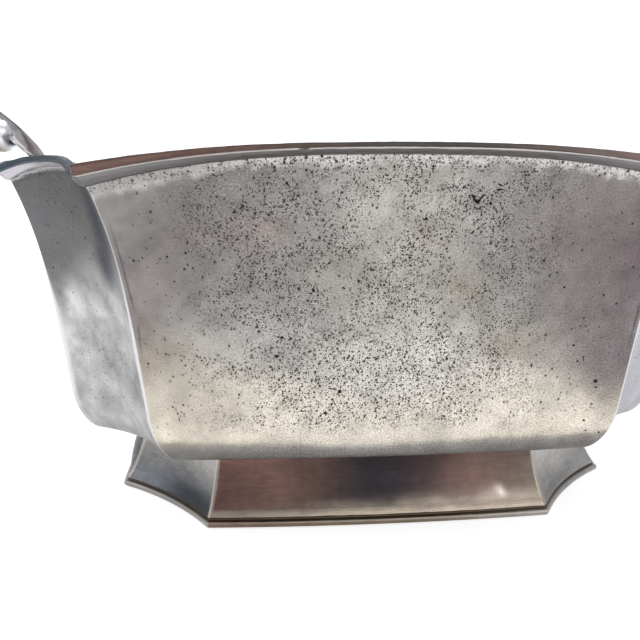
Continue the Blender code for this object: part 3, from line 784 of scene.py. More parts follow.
def make_rim(looks):
    ring = Ring(RIM_CORNERS, RIM_CELL, RIM_STATIONS)
    upper = band_heights(ring, *UPPER_BAND)
    lower = band_heights(ring, *LOWER_BAND)
    ends = run_bows(LIP_OUT, LIP_OUT, LIP_OUT_END, LIP_OUT_END)
    ridge = ring.along(ends, (LIP_OUT,) * 8)
    top_out = ridge - LIP_TOP_IN
    foot_out = np.full_like(ridge, LIP_FOOT_OUT)
    # Each row of the section: its depth below the rim, its distance out from the wall, and the
    # band it's on, from 0 at the foot of the lower one over 0.5 on the ridge to 1 at the top.
    rows = (
        (upper + lower + 0.12, foot_out * 0.25, 0.0),
        (upper + lower, foot_out - 0.05, 0.0),
        (upper + lower * 0.9, foot_out + 0.06, 0.05),
        (upper + lower * 0.62, foot_out + (ridge - foot_out) * 0.36, 0.15),
        (upper + lower * 0.36, foot_out + (ridge - foot_out) * 0.68, 0.25),
        (upper + 0.20, ridge - 0.16, 0.35),
        (upper + 0.10, ridge + 0.01, 0.45),
        (upper, ridge + 0.05, 0.5),
        (upper - 0.10, ridge + 0.01, 0.55),
        (upper - 0.18, ridge - 0.10, 0.65),
        (upper * 0.62, top_out + (ridge - top_out) * 0.42, 0.8),
        (upper * 0.34, top_out + (ridge - top_out) * 0.22, 0.9),
        (0.14, top_out + 0.02, 1.0),
        (0.04, top_out - 0.06, 1.0),
        (0.0, top_out - 0.22, 1.0),
    )
    top_ring, low_ring = wall_ring(ring, 1.0), wall_ring(ring, 0.9)
    fall = 0.1 * (rim_heights(ring) - BOWL_BOTTOM_Z)

    outer, inner = [], []
    for depth, out, _ in rows:
        points = top_ring + (low_ring - top_ring) * (depth / fall)[:, None]
        direction = plan_offset(points[:, :2], 1.0) - points[:, :2]
        direction = np.column_stack((direction, np.zeros(len(direction))))
        outer.append(points + direction * out[:, None])
        inner.append(points + direction * 0.01)
    outer, inner = np.array(outer), np.array(inner)
    band = np.array([row[2] for row in rows])
    for run, name in enumerate(RUNS):
        columns = ring.columns(run)
        grid = outer[:, columns].copy()
        _, edge, x, bands, place = run_measures(grid, band)
        wobble = 0.05 * soft_noise(x, bands * 3.0, 4.0, 140 + run)
        wobble += 0.035 * soft_noise(x, bands * 6.0, 1.1, 150 + run)
        wobble -= 0.10 * smooth(edge, 0.14, 0.0)
        knock = 0.0
        if run == 0:
            knock = dent(x, bands, -16.2, 0.45, 0.4, 0.2, 0.4)
            knock = knock + dent(x, bands, 49.0, 0.78, 1.4, 0.16, 0.25)
        relief = wobble * smooth(edge, -0.5, 0.3) + knock
        grid += grid_normals(grid) * relief[..., None]
        marks = np.zeros_like(place)
        marks[..., 0] = np.clip(-knock / 0.3, 0.0, 1.0)
        marks[..., 1] = smooth(edge, 0.12, 0.0)
        skin = moulding(grid, inner[[0, -1]][:, columns], (0, -1),
                        pattern_at(x, grid[..., 2], run), place, marks)
        skin.object("moulding_" + name, looks[run], "rim_metal", ("rim_" + name,), 38.0)


def moulding(grid, back_points, back_rows, at, place, marks):
    """A closed skin: a fine outer grid and a plain back of two rows, valued as two of its rows."""
    skin = Skin()
    fine = skin.add(grid, at, place, marks).reshape(grid.shape[:2])
    back_rows = list(back_rows)
    back = skin.add(back_points, at[back_rows], place[back_rows]).reshape(2, -1)
    skin.faces += quads(fine) + quads(back, flip=True) + close_profile(fine, back)
    return skin


def close_profile(fine, back):
    """Faces that join a moulding's outer grid to its two-row back."""
    faces = []
    for column in range(fine.shape[1] - 1):
        after = column + 1
        faces.append((fine[0, after], fine[0, column], back[0, column], back[0, after]))
        faces.append((fine[-1, column], fine[-1, after], back[-1, after], back[-1, column]))
    faces.append((*fine[:, 0], back[1, 0], back[0, 0]))
    faces.append((*fine[::-1, -1], back[0, -1], back[1, -1]))
    return [tuple(int(k) for k in face) for face in faces]


# ---------------------------------------------------------------- foot and its base moulding

FOOT_CORNERS = plan_corners(FOOT_X1, FOOT_Y1, FOOT_X2, FOOT_Y2)
FOOT_RING = Ring(FOOT_CORNERS, FOOT_CELL, FOOT_STATIONS)


def foot_plan(inset, swell=0.0):
    end_bow = FOOT_END_BOW + swell
    bows = run_bows(FOOT_SIDE_BOW, FOOT_CORNER_HOLLOW, end_bow, end_bow)
    return FOOT_RING.plan(plan_offset(FOOT_CORNERS, -inset), bows) + (FOOT_AHEAD, 0.0)


def level(plan, height):
    return np.column_stack((plan, np.full(len(plan), height)))


def make_foot(looks, rows=36):
    low_edge, high_edge = BASE_HEIGHT - 0.05, BOWL_BOTTOM_Z + 0.25
    heights = np.linspace(0.0, 1.0, rows + 1)
    outer_ring, inner_ring = [], []
    for share in heights:
        inset = FOOT_EDGE_IN + FOOT_FLARE_IN * (1.0 - (1.0 - share) ** 2)
        inset -= 0.12 * smooth(share, 0.10, 0.03)        # a thin rolled edge at the bottom
        height = low_edge + (high_edge - low_edge) * share
        swell = FOOT_END_SWELL * math.sin(math.pi * share ** 0.8)
        outer_ring.append(level(foot_plan(inset, swell), height))
        inner_ring.append(level(foot_plan(inset + FOOT_SHEET, swell), height))
    outer_ring, inner_ring = np.array(outer_ring), np.array(inner_ring)
    for run, name in enumerate(RUNS):
        columns = FOOT_RING.columns(run)
        flat = outer_ring[:, columns]
        z = flat[..., 2]
        outer = rounded_run(outer_ring, columns, np.full(len(flat), FOOT_ARRIS_RADIUS))
        _, edge, x, _, place = run_measures(flat, heights)
        relief = two_noises(x, z, 160 + run, (0.06, 8.0), (0.02, 1.7))
        outer = outer + grid_normals(flat) * (relief * smooth(edge, 0.0, 1.5))[..., None]
        skin = Skin()
        no_pits = np.zeros((rows, len(columns) - 1))
        sheet_with_pits(skin, outer, inner_ring[:, columns], pattern_at(x, z, run), place,
                        np.zeros_like(place), foot_tone(run, x, z, place), no_pits)
        skin.object("panel_" + name, looks[run], "foot_metal", ("foot_" + name,))


def base_profile():
    """Section of the base moulding: height, inset from its outermost line, depth of groove."""
    section = [(0.0, 0.75, 0.0), (0.02, 0.35, 0.0)]
    for angle in np.radians(np.arange(-70.0, 71.0, 14.0)):
        section.append((0.68 + 0.66 * math.sin(angle), 0.58 * (1.0 - math.cos(angle)), 0.0))
    section += [(1.34, 0.66, 0.5), (1.37, 0.92, 1.0), (1.46, 1.08, 1.0), (1.62, 1.14, 0.9),
                (1.78, 1.08, 0.6), (1.90, 0.96, 0.2), (1.98, 0.86, 0.0), (2.0, 0.94, 0.0),
                (2.0, 1.3, 0.0)]
    return np.array(section)


def make_base(looks):
    section = base_profile()
    outer_ring = np.array([level(foot_plan(inset), height) for height, inset, _ in section])
    back_ring = np.array([level(foot_plan(BASE_DEPTH), 0.0),
                          level(foot_plan(BASE_DEPTH), BASE_HEIGHT)])
    for run, name in enumerate(RUNS):
        columns = FOOT_RING.columns(run)
        flat = outer_ring[:, columns]
        outer = rounded_run(outer_ring, columns, np.full(len(flat), BASE_ARRIS_RADIUS))
        _, edge, x, rise, place = run_measures(flat, section[:, 0] / BASE_HEIGHT)
        relief = 0.03 * soft_noise(x, rise * 4.0, 1.6, 180 + run) * smooth(edge, 0.0, 1.0)
        relief *= smooth(rise, 0.0, 0.1)
        outer = outer + grid_normals(flat) * relief[..., None]
        marks = np.zeros_like(place)
        marks[..., 1] = section[:, 2:]
        skin = moulding(outer, back_ring[:, columns], (0, 1), pattern_at(x, flat[..., 2], run),
                        place, marks)
        skin.object("bead_" + name, looks[run], "base_metal", ("base_" + name,), 60.0)


# ---------------------------------------------------------------- bottom plate

def make_bottom(look, rings=22):
    """Bottom plate: rings of points from its middle to its edge, on both faces."""
    ring = Ring(RIM_CORNERS, 2.0, (0.0, 1.0))
    edge_plan = plan_offset(wall_ring(ring, 0.0)[:, :2], -0.02)
    scales = np.linspace(0.0, 1.0, rings + 1)[1:] ** 0.8
    skin = Skin()
    rims = []
    for height, under in ((BOWL_BOTTOM_Z + WALL, False), (BOWL_BOTTOM_Z, True)):
        plan = edge_plan[None] * scales[:, None, None]
        rise = 0.06 * soft_noise(plan[..., 0], plan[..., 1], 9.0, 190 + under)
        rise = height + rise * (1.0 - scales[:, None] ** 6)
        at = np.dstack((plan, np.full_like(rise, BOTTOM_PATTERN)))
        place = (0.5, 0.3, FAR_FROM_SEAM if under else UNSEEN)
        wrapped = close_ring(skin.add(np.dstack((plan, rise)), at, place).reshape(rings, -1))
        skin.faces += quads(wrapped, flip=not under)
        cap(skin, (0.0, 0.0, height), (0.0, 0.0, BOTTOM_PATTERN), (0.5, 0.3, UNSEEN), wrapped[0],
            under)
        rims.append(wrapped[-1])
    skin.faces += quads(np.array(rims[::-1]))
    skin.object("bottom_plate", look, "bowl_metal", ("bowl_bottom",))


# ---------------------------------------------------------------- handle

def strap_path(steps=28):
    root_point = np.array((-RIM_X2 - HANDLE_END_BOW, RIM_CORNER_Z + HANDLE_END_RISE + 0.02))
    knots = root_point + np.array((
        (0.7, 0.0), (0.1, 0.7), (-1.0, 1.85), (-2.6, 3.05),
        (-12.5, 11.3), (-21.0, 19.5), (-30.0, 18.0),
        (-42.0, 16.0), (-47.0, -4.0), (-37.0, -17.0),
        (-30.0, -26.0), (-17.0, -24.0), (-18.5, -15.0),
        (-19.5, -9.0), (-27.0, -10.0), (-26.0, -15.0)))
    points = [knots[0]]
    for first in range(0, len(knots) - 1, 3):
        a, b, c, d = knots[first:first + 4]
        for t in np.linspace(0.0, 1.0, steps + 1)[1:]:
            u = 1.0 - t
            points.append(u ** 3 * a + 3 * t * u * u * b + 3 * t * t * u * c + t ** 3 * d)
    return np.array(points)


def distances_along(path):
    lengths = np.linalg.norm(np.diff(path, axis=0), axis=1)
    return np.concatenate(([0.0], np.cumsum(lengths)))


def path_normals(path):
    tangent = unit(np.gradient(path, axis=0))
    return np.column_stack((tangent[:, 1], -tangent[:, 0]))


def make_strap(look, around=28):
    """The strap: crowned faces and rounded edges, swept along the handle's line."""
    path = strap_path()
    normals = path_normals(path)
    normals[0] = (1.0, 0.0)
    travelled = distances_along(path)
    half_width = from_table(STRAP_WIDTHS, travelled) / 2
    half_thick = from_table(STRAP_THICKS, travelled) / 2
    crown = from_table(STRAP_CROWNS, travelled)
    half_width *= 0.55 + 0.45 * smooth(travelled, travelled[-1], travelled[-1] - 2.0)
    angles = np.linspace(0.0, 2.0 * math.pi, around, endpoint=False)
    across = np.sign(np.cos(angles)) * abs(np.cos(angles)) ** 0.55
    over = np.sign(np.sin(angles)) * abs(np.sin(angles)) ** 0.8
    rise = half_thick[:, None] * over + crown[:, None] * (1.0 - across ** 2) * (over > 0.0)
    skin = Skin()
    worn = 1.0 + 0.02 * soft_noise(travelled, travelled * 0.0, 3.0, 200)
    points = np.empty((len(path), around, 3))
    points[..., 0] = path[:, :1] + normals[:, :1] * rise
    points[..., 1] = half_width[:, None] * across * worn[:, None]
    points[..., 2] = path[:, 1:] + normals[:, 1:] * rise
    along = np.repeat(travelled[:, None], around, axis=1)
    side = np.repeat(across[None], len(path), axis=0)
    at = np.dstack((along, points[..., 1], np.full_like(along, STRAP_PATTERN)))
    place = np.dstack((along, np.repeat(over[None], len(path), axis=0) * 0.5 + 0.5,
                       (1.0 - abs(side)) * half_width[:, None]))
    wrapped = close_ring(skin.add(points, at, place).reshape(len(path), around))
    skin.faces += quads(wrapped)
    for row, reverse in ((0, True), (-1, False)):
        centre = (path[row, 0], 0.0, path[row, 1])
        cap(skin, centre, at[row, 0], place[row, 0], wrapped[row], reverse)
    skin.object("strap", look, "handle_metal", ("handle_strap",), 60.0)


def make_ball(look, turns=56, rises=36):
    """The ball: round below, with a slot above in which the strap lies."""
    path = strap_path()
    station = int(np.argmin(abs(distances_along(path) - BALL_ALONG)))
    up = path_normals(path)[station]
    up = np.array((up[0], 0.0, up[1]))
    forward = np.array((up[2], 0.0, -up[0]))
    sideways = np.array((0.0, 1.0, 0.0))
    centre = np.array((path[station, 0], 0.0, path[station, 1])) - up * BALL_DROP
    polar = np.linspace(0.0, math.pi, rises + 1)[1:-1]
    turn = np.linspace(0.0, 2.0 * math.pi, turns, endpoint=False)
    x = np.sin(polar)[:, None] * np.cos(turn)
    y = np.sin(polar)[:, None] * np.sin(turn)
    z = np.repeat(-np.cos(polar)[:, None], turns, axis=1)
    strap_at = from_table(STRAP_WIDTHS, BALL_ALONG) / 2 + 0.05
    floor_at = (BALL_DROP - 0.5) / BALL_RADIUS
    slot = smooth(abs(x * BALL_RADIUS), strap_at + 0.12, strap_at)
    z = np.where(z > floor_at, z + (floor_at - z) * slot, z)
    uneven = soft_noise(turn[None] * 3.0, polar[:, None] * 3.0, 1.0, 210)
    radius = BALL_RADIUS * (1.0 + 0.004 * uneven)
    points = centre + radius[..., None] * (x[..., None] * sideways + y[..., None] * forward
                                           + z[..., None] * up)
    skin = Skin()
    at = np.dstack((x, y, z)) * 4.0 + (0.0, 0.0, BALL_PATTERN)
    place = np.dstack((np.full_like(x, BALL_ALONG), z * 0.5 + 0.5, np.full_like(x, 3.0)))
    wrapped = close_ring(skin.add(points, at, place).reshape(rises - 1, turns))
    skin.faces += quads(wrapped, flip=True)
    for row, pole, reverse in ((0, -1.0, False), (-1, floor_at, True)):
        tip = centre + up * pole * BALL_RADIUS
        cap(skin, tip, at[row, 0], place[row, 0], wrapped[row], reverse)
    skin.object("ball", look, "handle_metal", ("handle_ball",), 60.0)


# ---------------------------------------------------------------- materials

class Look:
    """A metal, built up from shader nodes."""

    def __init__(self, name):
        self.material = bpy.data.materials.new(name)
        self.material.use_nodes = True
        self.tree = self.material.node_tree
        self.shader = self.tree.nodes["Principled BSDF"]
        self.at = self.attribute("at")
        self.place = self.split(self.attribute("place"))
        self.marks = self.split(self.attribute("marks"))
        self.tone = self.attribute("tone")

    def node(self, kind, inputs=(), output=0, **settings):
        node = self.tree.nodes.new(kind)
        for key, value in settings.items():
            setattr(node, key, value)
        for key, value in dict(inputs).items():
            self.feed(node.inputs[key], value)
        return node.outputs[output]

    def feed(self, socket, value):
        if isinstance(value, bpy.types.NodeSocket):
            self.tree.links.new(value, socket)
        else:
            socket.default_value = value

    def attribute(self, name):
        return self.node("ShaderNodeAttribute", output=1, attribute_name=name)

    def split(self, vector):
        node = self.tree.nodes.new("ShaderNodeSeparateXYZ")
        self.tree.links.new(vector, node.inputs[0])
        return node.outputs

    def math(self, operation, a, b=0.0, c=0.0):
        return self.node("ShaderNodeMath", {0: a, 1: b, 2: c}, operation=operation)

    times = partialmethod(math, "MULTIPLY")
    plus = partialmethod(math, "ADD")
    minus = partialmethod(math, "SUBTRACT")
    larger = partialmethod(math, "MAXIMUM")

    def apart(self, value, middle):
        return self.math("ABSOLUTE", self.minus(value, middle))

    def squared(self, value, middle, half_size):
        offset = self.math("DIVIDE", self.minus(value, middle), half_size)
        return self.math("POWER", offset, 2.0)

    def scale(self, vector, factors):
        return self.node("ShaderNodeVectorMath", {0: vector, 1: factors}, operation="MULTIPLY")

    def ramp(self, value, start, end, low=0.0, high=1.0):
        """From low to high as the value goes from start to end, with soft ends."""
        return self.node("ShaderNodeMapRange", {0: value, 1: start, 2: end, 3: low, 4: high},
                         interpolation_type="SMOOTHSTEP")

    def noise(self, scale, detail=3.0, roughness=0.5, stretch=(1.0, 1.0, 1.0), warp=0.0):
        vector = self.scale(self.at, stretch)
        inputs = {"Vector": vector, "Scale": scale, "Detail": detail, "Roughness": roughness,
                  "Distortion": warp}
        return self.node("ShaderNodeTexNoise", inputs)

    def specks(self, scale, size, share, warp):
        """Specks with warped outlines: 1 inside. share is how many of the cells hold one."""
        shift = self.node("ShaderNodeTexNoise", {"Vector": self.at, "Scale": scale * 0.8},
                          output=1)
        shift = self.scale(shift, (warp, warp, warp))
        vector = self.node("ShaderNodeVectorMath", {0: self.at, 1: shift}, operation="ADD")
        cells = self.tree.nodes.new("ShaderNodeTexVoronoi")
        self.tree.links.new(vector, cells.inputs["Vector"])
        cells.inputs["Scale"].default_value = scale
        pick = self.split(cells.outputs["Color"])
        kept = self.math("LESS_THAN", pick[0], share)
        radius = self.times(pick[1], size)
        inside = self.minus(radius, cells.outputs["Distance"])
        inside = self.ramp(inside, 0.0, size * 0.25)
        return self.times(inside, kept)

    def mix(self, factor, a, b, blend="MIX"):
        """From colour a to colour b as the factor goes from 0 to 1."""
        a, b = ((*tone, 1.0) if isinstance(tone, tuple) else tone for tone in (a, b))
        return self.node("ShaderNodeMix", {0: factor, 6: a, 7: b}, output=2, data_type="RGBA",
                         blend_type=blend)

    def multiply(self, factor, a, b):
        return self.mix(factor, a, b, "MULTIPLY")

    def finish(self, colour, roughness, relief, distance=0.00008):
        """The finished material. The bumps of its relief are as high as distance, in metres."""
        self.feed(self.shader.inputs["Base Color"], colour)
        self.feed(self.shader.inputs["Roughness"], roughness)
        self.shader.inputs["Metallic"].default_value = 1.0
        normal = self.node("ShaderNodeBump", {"Strength": 1.0, "Distance": distance,
                                              "Height": relief})
        self.tree.links.new(normal, self.shader.inputs["Normal"])
        return self.material

    def hits(self, nicks):
        """1 inside any of a list of small, ragged ovals, and 0 outside."""
        rough = self.noise(3.0, 2.0, 0.6)
        nearest = 9.0
        for at_x, at_z, width, height, lean in nicks:
            local = self.node("ShaderNodeMapping", {
                "Vector": self.at, "Location": (at_x, at_z, 0.0), "Rotation": (0.0, 0.0, lean),
                "Scale": (width, height, 30.0)}, vector_type="TEXTURE")
            length = self.node("ShaderNodeVectorMath", {0: local}, output=1, operation="LENGTH")
            nearest = self.math("MINIMUM", length, nearest)
        ragged = self.plus(nearest, self.times(rough, 0.9))
        return self.ramp(ragged, 1.55, 1.2)


WORN_BRIGHT, PLAIN_INSIDE = (0.96, 0.94, 0.95), (0.55, 0.54, 0.52)
PIT_BLACK = (0.045, 0.038, 0.032)


def bowl_look(name, pits, worn, nicks=()):
    """Brushed and pitted bowl metal over its tarnish and painted light, worn bright by so many mm
    at the seams.
    """
    look = Look(name)
    along, rise, edge = look.place
    blotch = look.noise(0.30, 4.0, 0.62, warp=0.4)
    brushing = look.noise(1.0, 4.0, 0.65, stretch=(0.22, 7.0, 1.0))
    grain = look.noise(2.6, 3.0, 0.7)
    tone = look.multiply(look.ramp(blotch, 0.35, 0.75, 0.0, 0.30), look.tone, (0.72, 0.70, 0.68))
    tone = look.multiply(look.ramp(brushing, 0.25, 0.75, 0.28, 0.0), tone, (0.70, 0.69, 0.70))
    middle = look.ramp(look.apart(along, 0.46), 0.40, 0.22)
    coarse = look.math("MULTIPLY_ADD", look.ramp(along, 0.12, 0.30), 0.6 * pits, 0.2)
    coarse = look.math("MULTIPLY_ADD", look.ramp(rise, 0.6, 0.35), 0.3, coarse)
    rubbed = look.times(look.ramp(grain, 0.56, 0.40), coarse)
    tone = look.multiply(rubbed, tone, (0.68, 0.67, 0.66))
    flecks = look.times(look.ramp(look.noise(3.0, 2.0, 0.6), 0.55, 0.68), middle)
    tone = look.mix(look.times(flecks, 0.36 * pits), tone, (0.95, 0.93, 0.90))
    strip = look.ramp(look.marks[2], 1.8, 0.9)
    strip = look.times(strip, look.ramp(look.marks[2], -0.2, 0.0))
    speckle = look.larger(look.specks(1.5, 0.40, 0.9 * pits, 0.5),
                          look.specks(2.3, 0.46, 1.2 * pits, 0.3))
    speckle = look.larger(speckle, look.specks(3.4, 0.46, 1.2 * pits, 0.2))
    cluster = look.times(middle, look.ramp(look.noise(0.13, 4.0, 0.68), 0.42, 0.54))
    from_patch = look.plus(look.squared(along, 0.45, 0.24), look.squared(rise, 0.29, 0.16))
    low_patch = look.ramp(from_patch, 1.15, 0.5)
    where = look.times(look.larger(cluster, low_patch), look.ramp(rise, 0.1, 0.16))
    where = look.larger(where, look.times(strip, 0.5))
    speckle = look.times(speckle, where)
    dark = look.larger(look.times(speckle, 0.92), look.marks[0])
    dark = look.larger(dark, look.times(look.marks[1], 0.6))
    outside = look.ramp(edge, -0.6, -0.1)
    if nicks:
        dark = look.larger(dark, look.times(look.hits(nicks), outside))
    width = look.ramp(rise, 0.72, 0.35, 0.45, worn)
    wear = look.plus(edge, look.times(grain, 0.4))
    wear = look.ramp(look.math("DIVIDE", wear, width), 1.15, 0.35)
    wear = look.times(wear, outside)
    wear = look.times(wear, look.ramp(rise, 0.85, 0.45, 0.45, 0.85))
    wear = look.times(wear, look.ramp(rise, 0.04, 0.2, 0.25, 1.0))
    tone = look.mix(wear, tone, WORN_BRIGHT)
    tone = look.mix(dark, tone, PIT_BLACK)
    tone = look.mix(outside, PLAIN_INSIDE, tone)
    rough = look.ramp(brushing, 0.2, 0.8, 0.30, 0.44)
    rough = look.plus(rough, look.times(strip, 0.1))
    rough = look.plus(rough, look.times(dark, 0.3))
    relief = look.plus(look.times(brushing, 0.35), look.times(grain, 0.6))
    relief = look.minus(relief, look.times(speckle, 1.6))
    relief = look.plus(relief, look.times(look.times(strip, grain), 1.5))
    return look.finish(tone, rough, relief, 0.00014)


def three_tones(look, along, tones, drift=0.0):
    """From one tone to the next along a piece."""
    place = look.plus(along, drift)
    tone = look.mix(look.ramp(place, 0.12, 0.5), tones[0], tones[1])
    return look.mix(look.ramp(place, 0.6, 0.95), tone, tones[2])


def rim_look(name, uppers, lower, ridge_tone, meet):
    """Rim moulding metal: the upper and lower tones meet in a bright line at this band, a painted
    highlight on the worn ridge.
    """
    look = Look(name)
    along, band, edge = look.place
    streak = look.noise(1.0, 4.0, 0.6, stretch=(0.35, 5.0, 1.0))
    blotch = look.noise(0.25, 3.0, 0.6)
    grain = look.noise(2.2, 3.0, 0.65)
    upper = three_tones(look, along, uppers)
    upper = look.multiply(look.ramp(blotch, 0.35, 0.7, 0.0, 0.5), upper, (0.68, 0.66, 0.64))
    below = look.mix(look.ramp(band, 0.10, 0.34), tuple(0.7 * c for c in lower), lower)
    tone = look.mix(look.ramp(band, meet + 0.05, meet + 0.12), below, upper)
    # A ragged bright line along the ridge: wear with a painted highlight.
    jag = look.plus(band, look.times(look.minus(grain, 0.5), 0.12))
    ridge = look.ramp(look.apart(jag, meet), 0.12, 0.03)
    tone = look.mix(look.times(ridge, 0.85), tone, ridge_tone)
    # Lighter toward the mitres: a painted highlight along the corner edges.
    mitre = look.ramp(edge, 0.45, 0.1)
    tone = look.mix(look.times(mitre, 0.5), tone, (0.75, 0.72, 0.68))
    tone = look.multiply(look.ramp(streak, 0.3, 0.7, 0.4, 0.0), tone, (0.68, 0.66, 0.66))
    dark = look.larger(look.marks[0], look.times(look.marks[1], 0.7))
    tone = look.mix(dark, tone, (0.05, 0.04, 0.035))
    rough = look.ramp(streak, 0.2, 0.8, 0.26, 0.42)
    relief = look.plus(look.times(streak, 0.3), look.times(grain, 0.35))
    return look.finish(tone, rough, relief)


def foot_look(name, seam):
    look = Look(name)
    edge = look.place[2]
    brushing = look.noise(1.0, 4.0, 0.6, stretch=(0.16, 5.0, 1.0))
    grain = look.noise(2.4, 3.0, 0.7)
    blotch = look.noise(0.5, 4.0, 0.65)
    tone = look.multiply(look.ramp(blotch, 0.4, 0.7, 0.0, 0.4), look.tone, (0.70, 0.68, 0.68))
    tone = look.multiply(look.ramp(brushing, 0.3, 0.7, 0.35, 0.0), tone, (0.66, 0.66, 0.68))
    wear = look.ramp(look.plus(edge, look.times(grain, 0.4)), 0.95, 0.5)
    outside = look.ramp(edge, -0.6, -0.1)
    tone = look.mix(look.times(wear, 0.75), tone, seam)
    tone = look.mix(outside, (0.40, 0.38, 0.36), tone)
    rough = look.ramp(brushing, 0.2, 0.8, 0.20, 0.32)
    relief = look.plus(look.times(brushing, 0.25), look.times(grain, 0.12))
    return look.finish(tone, rough, relief)


def base_look(name, tones):
    look = Look(name)
    along, rise, edge = look.place
    streak = look.noise(1.0, 4.0, 0.6, stretch=(0.3, 4.0, 1.0))
    blotch = look.noise(0.3, 3.0, 0.6)
    face = three_tones(look, along, tones)
    tone = look.multiply(look.ramp(blotch, 0.35, 0.7, 0.0, 0.5), face, (0.62, 0.60, 0.58))
    # Painted highlight: a light line along the upper shoulder of the bead.
    line = look.ramp(look.apart(rise, 0.56), 0.09, 0.03)
    tone = look.mix(look.times(line, 0.4), tone, (0.66, 0.60, 0.52))
    tone = look.multiply(look.ramp(streak, 0.3, 0.7, 0.35, 0.0), tone, (0.6, 0.6, 0.6))
    tone = look.mix(look.ramp(edge, 0.5, 0.15, 0.0, 0.5), tone, (0.66, 0.62, 0.56))
    tone = look.mix(look.marks[1], tone, (0.13, 0.105, 0.075))
    rough = look.ramp(streak, 0.2, 0.8, 0.26, 0.42)
    return look.finish(tone, rough, look.times(streak, 0.4))


def handle_look(name):
    look = Look(name)
    along, over, edge = look.place
    streak = look.noise(1.0, 4.0, 0.6, stretch=(0.4, 3.0, 1.0))
    blotch = look.noise(0.3, 3.0, 0.6, warp=0.5)
    tone = look.mix(look.ramp(blotch, 0.4, 0.7), (0.26, 0.245, 0.255), (0.16, 0.148, 0.152))
    # Darker on the strap's flat underside: painted shade.
    tone = look.mix(look.ramp(over, 0.30, 0.08, 0.0, 0.7), tone, (0.16, 0.14, 0.13))
    root_stain = look.times(look.ramp(along, 4.5, 1.5), look.ramp(blotch, 0.3, 0.5))
    tone = look.mix(look.times(root_stain, 0.85), tone, (0.17, 0.10, 0.06))
    # Painted highlight: light lines along both edges of the strap.
    tone = look.mix(look.ramp(edge, 0.5, 0.1, 0.0, 0.6), tone, (0.85, 0.84, 0.83))
    rough = look.ramp(streak, 0.2, 0.8, 0.16, 0.30)
    return look.finish(tone, rough, look.times(streak, 0.3), 0.00005)


def ball_look(name):
    look = Look(name)
    height = look.place[1]
    streak = look.noise(0.6, 3.0, 0.6)
    # Darker toward the bottom: painted shade on the underside of the ball, near white above.
    tone = look.mix(look.ramp(height, 0.46, 0.16), (0.98, 0.98, 1.0), (0.30, 0.26, 0.21))
    tone = look.multiply(look.ramp(streak, 0.35, 0.7, 0.0, 0.2), tone, (0.6, 0.6, 0.62))
    return look.finish(tone, look.ramp(streak, 0.3, 0.7, 0.24, 0.32),
                       look.times(streak, 0.3), 0.00004)


def make_looks():
    front = bowl_look("front_wall_metal", 0.8, 0.6, NICKS)
    back = bowl_look("back_wall_metal", 0.6, 0.6)
    hollow = bowl_look("hollow_wall_metal", 0.08, 2.0)
    end = bowl_look("end_wall_metal", 0.2, 0.8)
    walls = [front, hollow, end, hollow, back, hollow, end, hollow]
    # The rim's tones are tarnish with painted reflections: brown on the sides and slate on the
    # corners above the ridge, grey and near white below it, as faces turned different ways reflect
    # different surroundings.
    brown = ((0.24, 0.15, 0.125), (0.10, 0.088, 0.078), (0.26, 0.19, 0.165))
    side = rim_look("rim_side_metal", brown, (0.30, 0.29, 0.285), (0.72, 0.68, 0.65), 0.48)
    slate = ((0.11, 0.14, 0.175), (0.10, 0.13, 0.165), (0.06, 0.08, 0.11))
    corner = rim_look("rim_corner_metal", slate, (0.97, 0.93, 0.98), (0.62, 0.59, 0.61), 0.24)
    rims = [side, corner, corner, corner] * 2
    foot_side = foot_look("foot_side_metal", (0.60, 0.52, 0.44))
    foot_corner = foot_look("foot_corner_metal", (0.62, 0.56, 0.50))
    feet = [foot_side, foot_corner, foot_corner, foot_corner] * 2
    # The bead's tones are tarnish with painted reflections: brown on the sides and grey on the
    # corners, as faces turned different ways reflect different surroundings.
    bead = base_look("bead_side_metal", (
        (0.30, 0.21, 0.16), (0.29, 0.235, 0.175), (0.52, 0.47, 0.43)))
    bead_corner = base_look("bead_corner_metal", (
        (0.46, 0.44, 0.43), (0.44, 0.43, 0.42), (0.55, 0.51, 0.47)))
    beads = [bead, bead_corner, bead_corner, bead_corner] * 2
    return walls, rims, feet, beads


# ---------------------------------------------------------------- studio

def plain_material(name, colour, glow, seen_glow):
    """A matt material that glows, and glows more where the camera sees it directly."""
    material = bpy.data.materials.new(name)
    material.use_nodes = True
    shader = material.node_tree.nodes["Principled BSDF"]
    shader.inputs["Base Color"].default_value = (*colour, 1.0)
    shader.inputs["Roughness"].default_value = 0.9
    shader.inputs["Specular IOR Level"].default_value = 0.1
    shader.inputs["Emission Color"].default_value = (*colour, 1.0)
    path = material.node_tree.nodes.new("ShaderNodeLightPath")
    lift = material.node_tree.nodes.new("ShaderNodeMath")
    lift.operation = "MULTIPLY_ADD"
    material.node_tree.links.new(path.outputs["Is Camera Ray"], lift.inputs[0])
    lift.inputs[1].default_value = seen_glow
    lift.inputs[2].default_value = glow
    material.node_tree.links.new(lift.outputs[0], shader.inputs["Emission Strength"])
    return material


FLOOR_Z = -0.0002           # just under the base, in metres


def make_floor():
    """Pale floor that sweeps up into a backdrop."""
    half, half_wide, rise, bend = 1.6, 2.4, 1.6, 0.5
    profile = [(-half, 0.0), (half - bend, 0.0)]
    for angle in np.linspace(0.0, math.pi / 2, 13)[1:]:
        profile.append((half - bend + bend * math.sin(angle), bend - bend * math.cos(angle)))
    profile.append((half, rise))
    points = [(x, y, z) for y, z in profile for x in (-half_wide, half_wide)]
    faces = [(2 * k, 2 * k + 1, 2 * k + 3, 2 * k + 2) for k in range(len(profile) - 1)]
    mesh = bpy.data.meshes.new("floor")
    mesh.from_pydata(points, [], faces)
    mesh.shade_smooth()
    mesh.materials.append(plain_material("floor_white", (0.95, 0.95, 0.95), 0.3, 0.35))
    floor = into_scene("floor", mesh)
    floor.location.z = FLOOR_Z


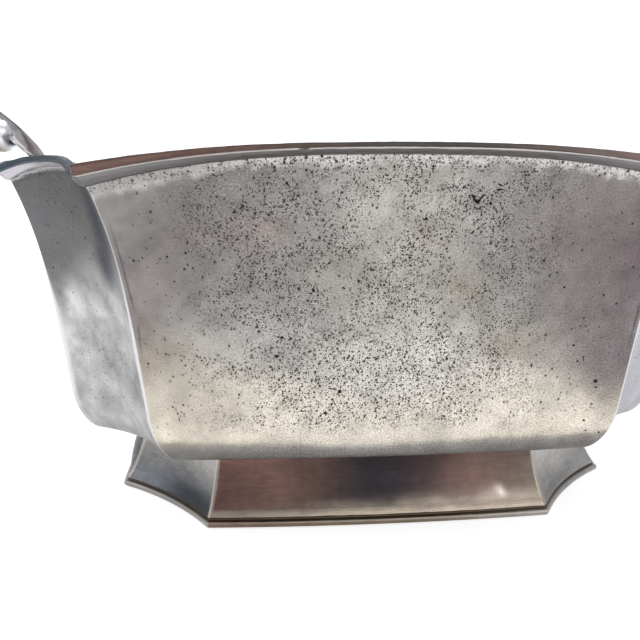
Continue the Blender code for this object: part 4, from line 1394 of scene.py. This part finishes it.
def make_world():
    world = bpy.data.worlds.new("studio")
    bpy.context.scene.world = world
    world.use_nodes = True
    background = world.node_tree.nodes["Background"]
    background.inputs["Color"].default_value = (0.93, 0.95, 1.0, 1.0)
    background.inputs["Strength"].default_value = 0.5


def area_light(name, at, aim, size, power):
    light = bpy.data.lights.new(name, "AREA")
    light.shape = "RECTANGLE"
    light.size, light.size_y = size
    light.energy = power
    lamp = into_scene(name, light)
    lamp.location = at
    lamp.rotation_euler = (Vector(aim) - Vector(at)).to_track_quat("-Z", "Y").to_euler()


CAMERA_FROM_BOWL = (-21.4, -153.5, 72.6)
CAMERA_YAW, CAMERA_PITCH = 0.0739, -0.2234
CAMERA_LENS = 36.39


def make_camera():
    camera = bpy.data.cameras.new("camera")
    camera.lens = CAMERA_LENS
    camera.sensor_width = 36.0
    camera.clip_start = 0.005
    obj = into_scene("camera", camera)
    yaw, pitch = CAMERA_YAW, CAMERA_PITCH
    forward = Vector((math.sin(yaw) * math.cos(pitch), math.cos(yaw) * math.cos(pitch),
                      math.sin(pitch)))
    right = Vector((math.cos(yaw), -math.sin(yaw), 0.0))
    up = right.cross(forward)
    pose = Matrix((right, up, -forward)).transposed().to_4x4()
    pose.translation = BOWL_MIDDLE + Vector(CAMERA_FROM_BOWL) * MM
    obj.matrix_world = pose
    bpy.context.scene.camera = obj


def make_studio():
    make_floor()
    make_world()
    area_light("top_softbox", (0.0, -0.1, 0.9), (0.0, 0.0, 0.0), (1.2, 1.0), 3.0)
    area_light("front_fill", (0.35, -0.9, 0.35), (0.0, 0.0, 0.04), (0.8, 0.5), 1.2)
    area_light("left_fill", (-0.9, -0.3, 0.5), (0.0, 0.0, 0.04), (0.5, 0.6), 1.0)
    bpy.context.scene.view_settings.view_transform = "Standard"
    make_camera()


walls, rims, feet, beads = make_looks()
make_walls(walls)
make_bottom(walls[2])
make_rim(rims)
make_foot(feet)
make_base(beads)
handle = handle_look("handle_metal_look")
make_strap(handle)
make_ball(ball_look("ball_metal_look"))
make_studio()
